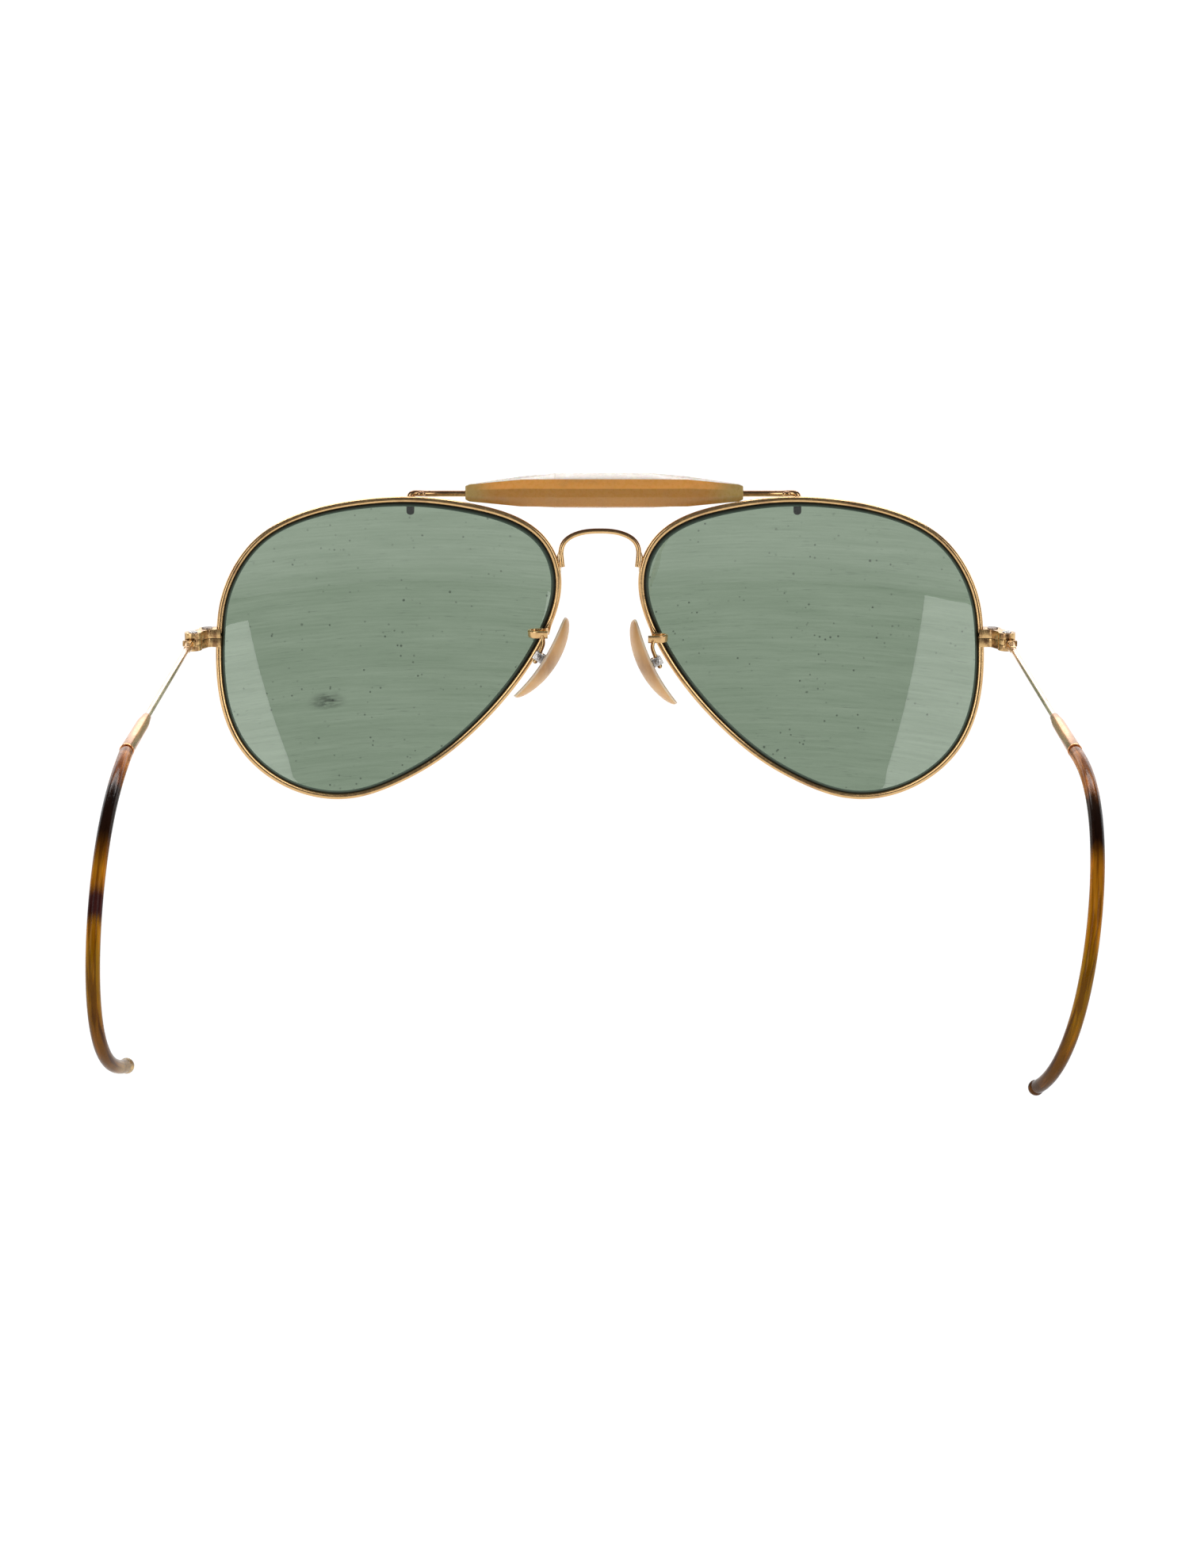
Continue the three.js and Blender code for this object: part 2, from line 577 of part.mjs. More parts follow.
// A flat strip soldered to the rim, looped behind the lens, then narrowed down to an eye
// that the pad box rocks on.
function padArm(frame, [pinX, pinY, pinZ]) {
  const line = smoothCurve([
    [pinX - 1.75, -8.75, pinZ + 3.4], [pinX - 1.7, -7.5, pinZ + 3.5],
    [pinX - 0.6, -6.5, pinZ + 3.6], [pinX + 0.9, -6.3, pinZ + 3.6],
    [pinX + 1.7, -5.3, pinZ + 3.6], [pinX + 0.9, -4.3, pinZ + 3.6],
    [pinX - 0.4, -3.95, pinZ + 3.3], [pinX - 0.75, -3.7, pinZ + 2.2],
    [pinX - 0.35, -3.45, pinZ + 1.0], [pinX, pinY, pinZ],
  ]);
  const sections = [];
  let broad = vec(0, 0, 1);
  for (let i = 0; i <= PAD_ARM_STEPS; i++) {
    const t = i / PAD_ARM_STEPS;
    const along = line.getTangentAt(t);
    broad = broad.clone().addScaledVector(along, -broad.dot(along)).normalize();
    const thin = vec(0, 0, 0).crossVectors(along, broad);
    const narrowing = THREE.MathUtils.smoothstep(t, 0.55, 0.8);
    const height = THREE.MathUtils.lerp(PAD_ARM_HEIGHT, PAD_ARM_NECK, narrowing) / 2;
    const thickness = PAD_ARM_THICKNESS / 2;
    const centre = line.getPointAt(t);
    const corners = [
      [1, 0.6], [0.6, 1], [-0.6, 1], [-1, 0.6], [-1, -0.6], [-0.6, -1], [0.6, -1], [1, -0.6],
    ];
    sections.push(corners.map(([a, b]) => centre.clone()
      .addScaledVector(thin, a * thickness).addScaledVector(broad, b * height)));
  }
  const [eyeRadius, eyeWidth] = PAD_EYE;
  const eye = new THREE.CylinderGeometry(eyeRadius, eyeRadius, eyeWidth, 14);
  eye.rotateZ(Math.PI / 2);
  eye.translate(0, -PAD_PIN, 0);
  const [tailRadius, tailDrop] = PAD_TAIL;
  const tail = new THREE.SphereGeometry(tailRadius, 8, 6);
  tail.translate(0, -PAD_PIN - 0.05, -tailDrop);
  return geometryOf(
    solidOf(loft(sections))
      .add(solidOf(eye, frame))
      .add(solidOf(tail, frame))
      .subtract(solidOf(geometryOf(padPinBore()), frame))
      .subtract(rimCutter(22, 34, lensInGlasses)));
}

// ---- Assembly --------------------------------------------------------------------------

const glasses = new THREE.Group();
const front = group(frontFrame);
glasses.add(front);

const shiftedWire = mesh('brow_wire', browWire(), 'gold');
shiftedWire.position.x = BROW_WIRE_SHIFT;
const shiftedBar = mesh('brow_bar', browBar(), 'browPlastic');
shiftedBar.position.x = BAR_SHIFT;
front.add(mesh('bridge', bridge(), 'gold'), shiftedWire, shiftedBar);

for (const [side, { mirror, temple: templeShape, pad }] of Object.entries(SIDES)) {
  const half = new THREE.Group();
  half.scale.x = mirror;
  glasses.add(half);

  const eye = group(lensInGlasses);
  eye.add(mesh(`rim_${side}`, rim(), 'gold'), mesh(`lens_${side}`, lens(), 'glass'));
  half.add(eye);

  const seam = (HINGE_TOP + HINGE_BOTTOM) / 2;
  half.add(
    mesh(`end_block_upper_${side}`, endBlock(seam + PLAY, HINGE_TOP), 'gold'),
    mesh(`end_block_lower_${side}`, endBlock(HINGE_BOTTOM, seam - PLAY), 'gold'),
    uprightScrew(`rim_screw_${side}`, RIM_SCREW, RIM_SCREW_HEAD),
    uprightScrew(`hinge_screw_${side}`, [HINGE_X, 0], HINGE_SCREW_HEAD),
    temple(side, templeShape));

  const frame = padFrame(pad);
  half.add(mesh(`pad_arm_${side}`, padArm(frame, pad.pin), 'gold'));
  const padGroup = group(frame);
  padGroup.add(
    mesh(`nose_pad_${side}`, nosePad(), 'padPlastic'),
    mesh(`pad_box_${side}`, padBox(), 'steel'),
    mesh(`pad_screw_${side}`, padScrew(), 'steel'));
  half.add(padGroup);
}

// The glasses stand with the middle of their footprint at the origin.
glasses.rotation.x = radians(STAND_PITCH);
const bounds = new THREE.Box3().setFromObject(glasses, true);
const middle = bounds.getCenter(vec(0, 0, 0));
glasses.position.set(-middle.x, -middle.y, -bounds.min.z);

const model = new THREE.Group();
model.add(glasses);
export default model;
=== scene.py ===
"""Looks for a pair of aviator sunglasses with a brow bar and cable temples.

Shapes are drawn in millimetres in the glasses' own frame: +x to the wearer's left, +y back along
the temples, +z up, with the origin midway between the two hinge pins. That frame is found from
the fold joints, so every piece lands where the CAD model has it.
"""

import json
import math

import bmesh
import bpy
import numpy as np
from mathutils import Matrix, Vector


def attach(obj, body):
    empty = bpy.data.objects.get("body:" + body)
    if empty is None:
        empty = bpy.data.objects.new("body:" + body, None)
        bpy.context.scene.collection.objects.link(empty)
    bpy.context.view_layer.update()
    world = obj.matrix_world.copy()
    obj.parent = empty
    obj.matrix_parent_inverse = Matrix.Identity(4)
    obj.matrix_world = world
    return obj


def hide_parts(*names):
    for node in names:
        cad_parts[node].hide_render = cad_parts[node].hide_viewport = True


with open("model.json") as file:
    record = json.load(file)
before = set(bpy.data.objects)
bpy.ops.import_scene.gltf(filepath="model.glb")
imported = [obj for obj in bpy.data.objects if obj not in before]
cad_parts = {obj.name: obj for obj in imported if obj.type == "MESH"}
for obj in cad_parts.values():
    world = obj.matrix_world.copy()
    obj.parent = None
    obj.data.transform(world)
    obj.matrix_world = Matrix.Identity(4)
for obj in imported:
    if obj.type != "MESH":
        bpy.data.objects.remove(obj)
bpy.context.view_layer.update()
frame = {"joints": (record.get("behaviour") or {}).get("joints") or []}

# ---- Driving dimensions, in millimetres and degrees ----------------------------------------

MM = 0.001
JOINT_MARK = 0.5  # the fold joints are stated this far above the temple wires' height

FRONT_Y, FRONT_Z, FRONT_TILT = -10.7, -2.3, 7.0
LENS_X, LENS_WRAP = 36.75, 5.0
LENS_CURVE, LENS_HALF = 88.0, 1.0
SMUDGE_PLACE, SMUDGE_SIZE = (10.9, 2.2, -9.9), (4.2, 5.0, 1.5)  # from the left lens's pole
LENS_SHOULDER, LENS_APEX = (1.12, 1.42), 0.74  # shoulder at the temple and at the nose
RIM_OUTLINE = [
    (29.7, 2.6), (28.3, 10.3), (22.8, 18.7), (13.6, 23.5), (4.5, 25.3), (-4.6, 25.7),
    (-14.2, 24.55), (-22.2, 22.2), (-27.55, 17.9), (-29.7, 10.7), (-27.5, 2.1), (-22.6, -6.3),
    (-16.1, -13.85), (-9.1, -19.8), (-2.0, -23.8), (7.0, -26.5), (17.0, -24.8), (25.5, -18.1),
    (29.4, -8.2),
]
RIM_STEPS, RIM_FINENESS = 288, 8  # steps round the rim, and outline points to each

BRIDGE_RADIUS = 0.46
BRIDGE_BOW = [
    (0, 2.6, 19.8), (2.5, 2.65, 19.65), (4.9, 2.8, 18.9), (6.25, 3.0, 17.75),
    (6.7, 3.2, 16.4), (6.65, 3.4, 15.0), (6.5, 3.5, 13.6),
]

BROW_WIRE_RADIUS, BROW_WIRE_SHIFT = 0.54, -0.7
TAIL_TOP, TAIL_SKIN = 24.9, 0.14  # painted shade: a near-black shell over the ends of the wire, below this height
BROW_WIRE_END = [
    (0, 0.6, 26.15), (25.0, 0.6, 26.15), (28.5, 0.6, 26.15), (31.2, 1.35, 26.2),
    (33.0, 1.95, 26.2), (33.5, 1.95, 25.8), (33.5, 1.4, 24.7), (33.5, 0.95, 23.3),
]
BAR_SHIFT, BAR_BACK, BAR_HEIGHT = -0.75, 2.15, 26.3
BAR_STATIONS = [
    (0, 2.36, 3.4, 5.7), (8.5, 2.36, 3.35, 5.5), (14.4, 2.34, 2.85, 4.4),
    (23.3, 1.5, 1.62, 2.6), (24.0, 1.15, 1.25, 2.1),
]
BAR_LOWER_RIDGE = 0.78

HINGE_X, HINGE_TOP, HINGE_BOTTOM, HINGE_LEAF = 69.5, 2.0, -1.05, 1.0
HINGE_RADIUS, PLAY = 1.45, 0.04
RIM_SCREW, RIM_SCREW_LOBE = (67.5, -3.5), 1.42
LOCK_INNER, LOCK_FRONT, LOCK_BACK = 65.1, -4.85, -2.12
NECK_WIDTH = 1.9
SCREW_RADIUS, SCREW_HEAD_HEIGHT = 0.5, 0.17
HINGE_SCREW_HEAD, RIM_SCREW_HEAD = 0.8, 0.95

TEMPLE_OFFSET, LUG_END = 0.5, 5.0
TEMPLE_WIRE_RADIUS = 0.5
SLEEVE_START, SLEEVE_END = 54.5, 76.3
COVER_RADIUS, TIP_RADIUS = 1.03, 1.17
COVER_SIDES = 28
CABLE_GRAIN = 4.5  # how short the lines in the plastic are

PAD_LENGTH, PAD_WIDTH, PAD_THICKNESS = 16.4, 7.8, 2.0
PAD_BEND, PAD_TURN, PAD_PIN = 1.2, 12.0, 1.3
PAD_ARM_HEIGHT, PAD_ARM_THICKNESS, PAD_DROP_RADIUS = 1.3, 0.45, 0.33
# Brazing up the rim from the pad arm: height over the rocking axis, and distance behind the rim.
PAD_FILLET = [(3.0, 0.5), (3.8, 0.4), (4.7, 0.25), (5.6, 0.1)]

SIDES = {
    "left": {
        "mirror": 1, "straight": 69.0, "ramp": 32.0, "radius": 21.5, "length": 148.2,
        "sway": (-2.67, 12.52, -11.28), "pin": (10.5, -3.3, -2.9), "splay": 32.5,
    },
    "right": {
        "mirror": -1, "straight": 68.0, "ramp": 35.0, "radius": 23.0, "length": 146.5,
        "sway": (4.48, -14.4, 1.54), "pin": (9.8, -3.3, -3.7), "splay": 26.0,
    },
}

CAMERA_PLACE, LOOK_DOWN = (0.93, 528.8, 112.0), 14.5
FOCAL_LENGTH, SENSOR_WIDTH = 72.53, 36.0
SKY_FRONT, SKY_REST = 2.4, 0.15  # brightness low in front of the glasses, and everywhere

# Colours along each cable, by the share of its length from the joint to the tip.
CABLE_BANDS = {
    "left": [
        (0.0, (0.72, 0.36, 0.19)), (0.10, (0.64, 0.24, 0.05)), (0.15, (0.40, 0.12, 0.012)),
        (0.20, (0.012, 0.004, 0.002)), (0.32, (0.02, 0.006, 0.002)), (0.365, (0.20, 0.07, 0.004)),
        (0.40, (0.50, 0.20, 0.008)), (0.43, (0.44, 0.16, 0.006)), (0.455, (0.06, 0.014, 0.012)),
        (0.49, (0.06, 0.014, 0.012)),
        (0.515, (0.48, 0.20, 0.004)), (0.57, (0.38, 0.18, 0.003)), (0.68, (0.32, 0.14, 0.003)),
        (0.74, (0.18, 0.068, 0.003)), (0.89, (0.19, 0.072, 0.004)), (0.96, (0.50, 0.34, 0.17)),
        (1.0, (0.62, 0.48, 0.30)),
    ],
    "right": [
        (0.0, (0.72, 0.38, 0.22)), (0.12, (0.62, 0.26, 0.08)), (0.20, (0.50, 0.17, 0.02)),
        (0.245, (0.03, 0.01, 0.003)), (0.29, (0.012, 0.004, 0.002)), (0.36, (0.02, 0.006, 0.002)),
        (0.415, (0.48, 0.18, 0.008)),
        (0.56, (0.46, 0.19, 0.004)), (0.61, (0.38, 0.18, 0.003)), (0.71, (0.32, 0.145, 0.003)),
        (0.80, (0.20, 0.078, 0.003)), (0.93, (0.15, 0.058, 0.004)), (1.0, (0.12, 0.045, 0.008)),
    ],
}

# ---- Frames --------------------------------------------------------------------------------


def rotation(axis, degrees):
    return Matrix.Rotation(math.radians(degrees), 4, axis)


def glasses_frame():
    """The glasses' own frame, from the axes that the two temples fold on."""
    folds = {joint["name"]: joint for joint in frame["joints"]}
    left, right = folds["temple_left_fold"], folds["temple_right_fold"]
    up = Vector(left["axis"]).normalized()
    middle = (Vector(left["pos_m"]) + Vector(right["pos_m"])) / 2 - up * JOINT_MARK * MM
    across = Vector((1, 0, 0))
    axes = Matrix((across, up.cross(across), up)).transposed().to_4x4()
    return Matrix.Translation(middle) @ axes @ Matrix.Scale(MM, 4)


GLASSES = glasses_frame()
FRONT = Matrix.Translation((0, FRONT_Y, FRONT_Z)) @ rotation("X", FRONT_TILT)
LENS = FRONT @ Matrix.Translation((LENS_X, 0, 0)) @ rotation("Z", LENS_WRAP)


def mirrored(mirror):
    """The glasses' frame for the wearer's left (1) or, mirrored, for the right (-1)."""
    return GLASSES @ Matrix.Diagonal((mirror, 1, 1, 1))


# ---- Curves and shells ---------------------------------------------------------------------


def smooth_curve(points, count, closed=False):
    """Evenly spaced points along a cubic spline through the given ones."""
    points = np.array(points, float)
    if closed:
        points = np.vstack([points, points[:1]])
    chords = np.linalg.norm(np.diff(points, axis=0), axis=1)
    knots = np.concatenate([[0], np.cumsum(np.sqrt(chords))])
    size = len(points)
    step = np.diff(knots)
    matrix = np.zeros((size, size))
    right = np.zeros((size, points.shape[1]))
    slopes = np.diff(points, axis=0) / step[:, None]
    for i in range(1, size - 1):
        matrix[i, i - 1:i + 2] = step[i - 1], 2 * (step[i - 1] + step[i]), step[i]
        right[i] = 6 * (slopes[i] - slopes[i - 1])
    if closed:
        matrix[0, 0], matrix[0, -1] = 1, -1
        matrix[-1, [0, 1, -2, -1]] = 2 * step[0], step[0], step[-1], 2 * step[-1]
        right[-1] = 6 * (slopes[0] - slopes[-1])
    else:
        matrix[0, 0] = matrix[-1, -1] = 1
    bend = np.linalg.solve(matrix, right)
    fine = np.linspace(0, knots[-1], 40 * size)
    span = np.clip(np.searchsorted(knots, fine, side="right") - 1, 0, size - 2)
    h = step[span][:, None]
    after = (fine - knots[span])[:, None]
    before = h - after
    curve = (bend[span] * before ** 3 + bend[span + 1] * after ** 3) / (6 * h)
    curve += (points[span] / h - bend[span] * h / 6) * before
    curve += (points[span + 1] / h - bend[span + 1] * h / 6) * after
    return even_points(curve, count, closed)


def even_points(curve, count, closed=False):
    run = np.concatenate([[0], np.cumsum(np.linalg.norm(np.diff(curve, axis=0), axis=1))])
    wanted = np.linspace(0, run[-1], count, endpoint=not closed)
    return np.stack([np.interp(wanted, run, curve[:, k]) for k in range(curve.shape[1])], axis=1)


def loft(rings):
    """A shell through rings of points, closed by a flat face at each end."""
    rings = np.asarray(rings, float)
    count, sides = rings.shape[:2]
    index = np.arange(count * sides).reshape(count, sides).tolist()
    faces = []
    for ring, following in zip(index, index[1:]):
        for k in range(sides):
            n = (k + 1) % sides
            faces.append((ring[k], ring[n], following[n], following[k]))
    return rings.reshape(-1, 3), faces + [tuple(index[0][::-1]), tuple(index[-1])]


def joined(*shells):
    points, faces, offset = [], [], 0
    for shell_points, shell_faces in shells:
        points.append(shell_points)
        faces += [tuple(i + offset for i in face) for face in shell_faces]
        offset += len(shell_points)
    return np.vstack(points), faces


def moved(shell, matrix):
    points, faces = shell
    return np.array([matrix @ Vector(p) for p in points]), faces


def carried_frames(path, start_up):
    """Side and up vectors along a path, with up carried along without twisting."""
    tangents = np.gradient(path, axis=0)
    tangents /= np.linalg.norm(tangents, axis=1)[:, None]
    up = np.array(start_up, float)
    ups = []
    for tangent in tangents:
        up = up - tangent * up.dot(tangent)
        up /= np.linalg.norm(up)
        ups.append(up)
    ups = np.array(ups)
    return np.cross(tangents, ups), ups


def tube(path, radius, sides, start_up=(0, 0, 1)):
    """A round tube along a path. The radius is one number or one for each point."""
    path = np.asarray(path, float)
    radii = np.broadcast_to(radius, len(path))
    side, up = carried_frames(path, start_up)
    angles = np.linspace(0, 2 * math.pi, sides, endpoint=False)
    rings = [
        p + r * (np.outer(np.cos(angles), s) + np.outer(np.sin(angles), u))
        for p, r, s, u in zip(path, radii, side, up)
    ]
    return loft(rings)


def rounded_square(sides, power):
    """How far across and up, round a square of half width 1 that is a circle at a power of 1."""
    angles = np.linspace(0, 2 * math.pi, sides, endpoint=False)
    return [np.sign(wave) * np.abs(wave) ** power for wave in (np.cos(angles), np.sin(angles))]


def strip(path, height, thickness, start_up):
    """A flat strip along a path, with rounded edges."""
    side, up = carried_frames(path, start_up)
    across, upward = rounded_square(24, 0.45)
    across, upward = across * thickness / 2, upward * height / 2
    return loft([p + np.outer(across, s) + np.outer(upward, u) for p, s, u in zip(path, side, up)])


def round_end(path, radius, start=False):
    """The path with its end drawn out into a dome, and the radius at each of its points."""
    path = np.asarray(path, float)[::-1] if start else np.asarray(path, float)
    onward = path[-1] - path[-2]
    onward /= np.linalg.norm(onward)
    angles = np.linspace(0, math.pi / 2 * 0.97, 7)[1:]
    dome = [path[-1] + onward * radius * math.sin(a) for a in angles]
    radii = [radius] * len(path) + [radius * math.cos(a) for a in angles]
    path, radii = np.vstack([path, dome]), np.array(radii)
    return (path[::-1], radii[::-1]) if start else (path, radii)


def lathe(profile, sides):
    """A turned shell about z, from (radius, height) points."""
    angles = np.linspace(0, 2 * math.pi, sides, endpoint=False)
    rings = []
    for radius, height in profile:
        r = max(radius, 1e-4)
        level = np.full(sides, height)
        rings.append(np.stack([r * np.cos(angles), r * np.sin(angles), level], axis=1))
    return loft(rings)


def extruded(outline, bottom, top):
    """An upright solid between two heights, from a plan outline."""
    return loft([[(x, y, z) for x, y in outline] for z in (bottom, top)])


def arc(centre, radius, start, end, steps):
    angles = np.radians(np.linspace(start, end, steps))
    return [(centre[0] + radius * math.cos(a), centre[1] + radius * math.sin(a)) for a in angles]


def box_shell(low, high):
    (x0, y0, z0), (x1, y1, z1) = low, high
    return extruded([(x0, y0), (x1, y0), (x1, y1), (x0, y1)], z0, z1)


# ---- Pieces --------------------------------------------------------------------------------


def draft(name, shell):
    """A plain mesh object from a shell, with its faces turned outwards."""
    points, faces = shell
    mesh = bpy.data.meshes.new(name)
    mesh.from_pydata([tuple(p) for p in points], [], faces)
    made = bmesh.new()
    made.from_mesh(mesh)
    bmesh.ops.recalc_face_normals(made, faces=made.faces)
    made.to_mesh(mesh)
    made.free()
    made_object = bpy.data.objects.new(name, mesh)
    bpy.context.scene.collection.objects.link(made_object)
    return made_object


def cut(target, shell):
    """Cuts a shell out of a drafted object."""
    tool = draft("cutter", shell)
    modifier = target.modifiers.new("cut", "BOOLEAN")
    modifier.operation, modifier.object, modifier.solver = "DIFFERENCE", tool, "EXACT"
    apply_modifiers(target)
    bpy.data.objects.remove(tool)


def apply_modifiers(target):
    graph = bpy.context.evaluated_depsgraph_get()
    done = bpy.data.meshes.new_from_object(target.evaluated_get(graph))
    target.modifiers.clear()
    old, target.data = target.data, done
    bpy.data.meshes.remove(old)


def bevel(target, width, segments, angle):
    modifier = target.modifiers.new("edges", "BEVEL")
    modifier.width, modifier.segments = width, segments
    modifier.limit_method, modifier.angle_limit = "ANGLE", math.radians(angle)
    apply_modifiers(target)


def mark(target, name, values):
    """Stores a number or a vector for each point, for a material to read."""
    values = np.asarray(values, np.float32)
    kind, key = ("FLOAT", "value") if values.ndim == 1 else ("FLOAT_VECTOR", "vector")
    target.data.attributes.new(name, kind, "POINT").data.foreach_set(key, values.ravel())


def finish_piece(target, matrix, material, slot, body, nodes, crease=40):
    """Puts a drafted object in place in the row frame and hides the CAD parts that it stands for.
    """
    mesh = target.data
    mesh.transform(matrix)
    if matrix.determinant() < 0:
        mesh.flip_normals()
    made = bmesh.new()
    made.from_mesh(mesh)
    for edge in made.edges:
        edge.smooth = len(edge.link_faces) == 2 and edge.calc_face_angle(0) < math.radians(crease)
    for face in made.faces:
        face.smooth = True
    made.to_mesh(mesh)
    made.free()
    mesh.materials.clear()
    mesh.materials.append(material)
    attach(target, body)
    if nodes:
        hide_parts(*nodes)


# ---- Materials -----------------------------------------------------------------------------


class Material:
    """A node material under construction, with short ways to add and join its nodes."""

    def __init__(self, name, **principled):
        self.material = bpy.data.materials.new(name)
        self.material.use_nodes = True
        self.tree = self.material.node_tree
        self.shader = self.tree.nodes["Principled BSDF"]
        for key, value in principled.items():
            self.shader.inputs[key.replace("_", " ")].default_value = value
        self.place = self.tree.nodes.new("ShaderNodeTexCoord").outputs["Object"]

    def add(self, kind, inputs=None, **settings):
        made = self.tree.nodes.new("ShaderNode" + kind)
        for key, value in settings.items():
            setattr(made, key, value)
        for key, value in (inputs or {}).items():
            if isinstance(value, bpy.types.NodeSocket):
                self.tree.links.new(value, made.inputs[key])
            else:
                made.inputs[key].default_value = value
        return made

    def feed(self, name, socket):
        self.tree.links.new(socket, self.shader.inputs[name])

    def stretched(self, scale):
        """Object coordinates, stretched by a scale for each axis."""
        return self.add("Mapping", {"Vector": self.place, "Scale": scale}).outputs["Vector"]

    def noise(self, scale, detail=3.0, vector=None, roughness=0.5):
        inputs = {"Scale": scale, "Detail": detail, "Roughness": roughness}
        inputs["Vector"] = vector or self.place
        return self.add("TexNoise", inputs).outputs["Fac"]

    def ramp(self, value, stops, smooth=False):
        made = self.add("ValToRGB", {"Fac": value})
        ramp = made.color_ramp
        ramp.interpolation = "EASE" if smooth else "LINEAR"
        while len(ramp.elements) < len(stops):
            ramp.elements.new(0.5)
        for element, (place, colour) in zip(ramp.elements, stops):
            element.position = place
            element.color = (*(colour if isinstance(colour, tuple) else (colour,) * 3), 1)
        return made.outputs["Color"]

    def mix(self, factor, first, second, blend="MIX"):
        made = self.add("Mix", data_type="RGBA", blend_type=blend)
        sockets = made.inputs[0], made.inputs[6], made.inputs[7]  # factor and two colours
        for socket, value in zip(sockets, (factor, first, second)):
            if isinstance(value, bpy.types.NodeSocket):
                self.tree.links.new(value, socket)
            else:
                socket.default_value = (*value, 1) if isinstance(value, tuple) else value
        return made.outputs[2]

    def stored(self, name, output="Fac"):
        """What mark() stored at each point."""
        return self.add("Attribute", attribute_name=name).outputs[output]

    def along_x(self):
        return self.add("SeparateXYZ", {"Vector": self.place}).outputs["X"]

    def upward(self):
        """How far the surface faces up, from -1 to 1."""
        normal = self.add("NewGeometry").outputs["Normal"]
        return self.add("SeparateXYZ", {"Vector": normal}).outputs["Z"]

    def scaled(self, value, factor):
        return self.add("Math", {0: value, 1: factor}, operation="MULTIPLY").outputs[0]

    def roughen(self, value, *stops):
        self.feed("Roughness", self.ramp(value, stops))

    def bump(self, height, strength):
        inputs = {"Height": height, "Strength": strength, "Distance": 0.1 * MM}
        self.feed("Normal", self.add("Bump", inputs).outputs["Normal"])


def gold_material(name, bright=(0.80, 0.53, 0.26), deep=(0.62, 0.38, 0.16), top_shade=0.0):
    """Gold-coloured plating with brown tarnish in patches, and painted shade darkening upward faces
    where asked.
    """
    made = Material(name, Metallic=1.0)
    patches = made.ramp(made.noise(190.0, 4.0), [(0.52, 0.0), (0.72, 0.55)], smooth=True)
    plating = made.mix(made.noise(900.0), bright, deep)
    colour = made.mix(patches, plating, (0.34, 0.18, 0.10))
    # Painted shade where a piece marks its edge: the rim's inner lip beside the lens.
    edge = made.stored("edge")
    colour = made.mix(edge, colour, (0.10, 0.05, 0.025))
    # Painted shade: upward faces darkened towards brown.
    if top_shade:
        upward = made.ramp(made.upward(), [(0.35, 0.0), (0.75, top_shade)], smooth=True)
        colour = made.mix(upward, colour, (0.24, 0.115, 0.06))
    made.feed("Base Color", colour)
    made.roughen(made.noise(1700.0, 5.0), (0.3, 0.13), (0.75, 0.30))
    made.bump(made.noise(5200.0, 4.0), 0.06)
    return made.material


def painted_shade_material():
    """Near-black painted shade, as a thin shell over metal."""
    made = Material("painted_shade_sheath", Specular_IOR_Level=0.05)
    shade_mottle = made.noise(1500.0, 4.0)
    made.feed("Base Color", made.mix(shade_mottle, (0.002, 0.002, 0.002), (0.007, 0.005, 0.004)))
    made.roughen(made.noise(2500.0), (0.3, 0.6), (0.7, 0.85))
    return made.material


def solder_material():
    """Brazed joints: the same metal, paler and uneven."""
    made = Material("brazed_joint", Metallic=1.0)
    dark = made.ramp(made.noise(1200.0, 4.0), [(0.42, 0.0), (0.62, 0.7)], smooth=True)
    made.feed("Base Color", made.mix(dark, (0.95, 0.74, 0.46), (0.34, 0.20, 0.11)))
    made.roughen(made.noise(2500.0, 5.0), (0.3, 0.2), (0.7, 0.42))
    made.bump(made.noise(1800.0, 4.0), 0.25)
    return made.material


def brushed_gold_material():
    """The end pieces: filed faces with upright grain."""
    made = Material("filed_gold", Metallic=1.0)
    grain = made.noise(1.0, 4.0, made.stretched((9000.0, 9000.0, 700.0)))
    plating = made.mix(grain, (0.58, 0.35, 0.13), (0.86, 0.60, 0.30))
    tarnish = made.ramp(made.noise(800.0, 4.0), [(0.44, 0.0), (0.64, 0.85)], smooth=True)
    made.feed("Base Color", made.mix(tarnish, plating, (0.24, 0.12, 0.055)))
    made.roughen(grain, (0.3, 0.18), (0.7, 0.36))
    made.bump(grain, 0.12)
    return made.material


def steel_material(name, clean, stained):
    made = Material(name, Metallic=1.0)
    grain = made.noise(1.0, 4.0, made.stretched((1500.0, 9000.0, 9000.0)))
    darkening = made.ramp(made.noise(1400.0, 3.0), [(0.5, 0.0), (0.7, 0.6)], smooth=True)
    made.feed("Base Color", made.mix(darkening, clean, stained))
    made.roughen(grain, (0.3, 0.2), (0.7, 0.42))
    made.bump(grain, 0.1)
    return made.material


def smudge(made):
    """A rubbed mark low on the wearer's left lens, fading out from its middle."""
    middle, size = GLASSES @ LENS @ Vector(SMUDGE_PLACE), [MM * s for s in SMUDGE_SIZE]
    offset = made.add("VectorMath", {0: made.place, 1: middle}, operation="SUBTRACT")
    scaled = made.add("VectorMath", {0: offset.outputs[0], 1: size}, operation="DIVIDE")
    distance = made.add("VectorMath", {0: scaled.outputs[0]}, operation="LENGTH").outputs["Value"]
    return made.ramp(distance, [(0.2, 1.0), (1.0, 0.0)], smooth=True)


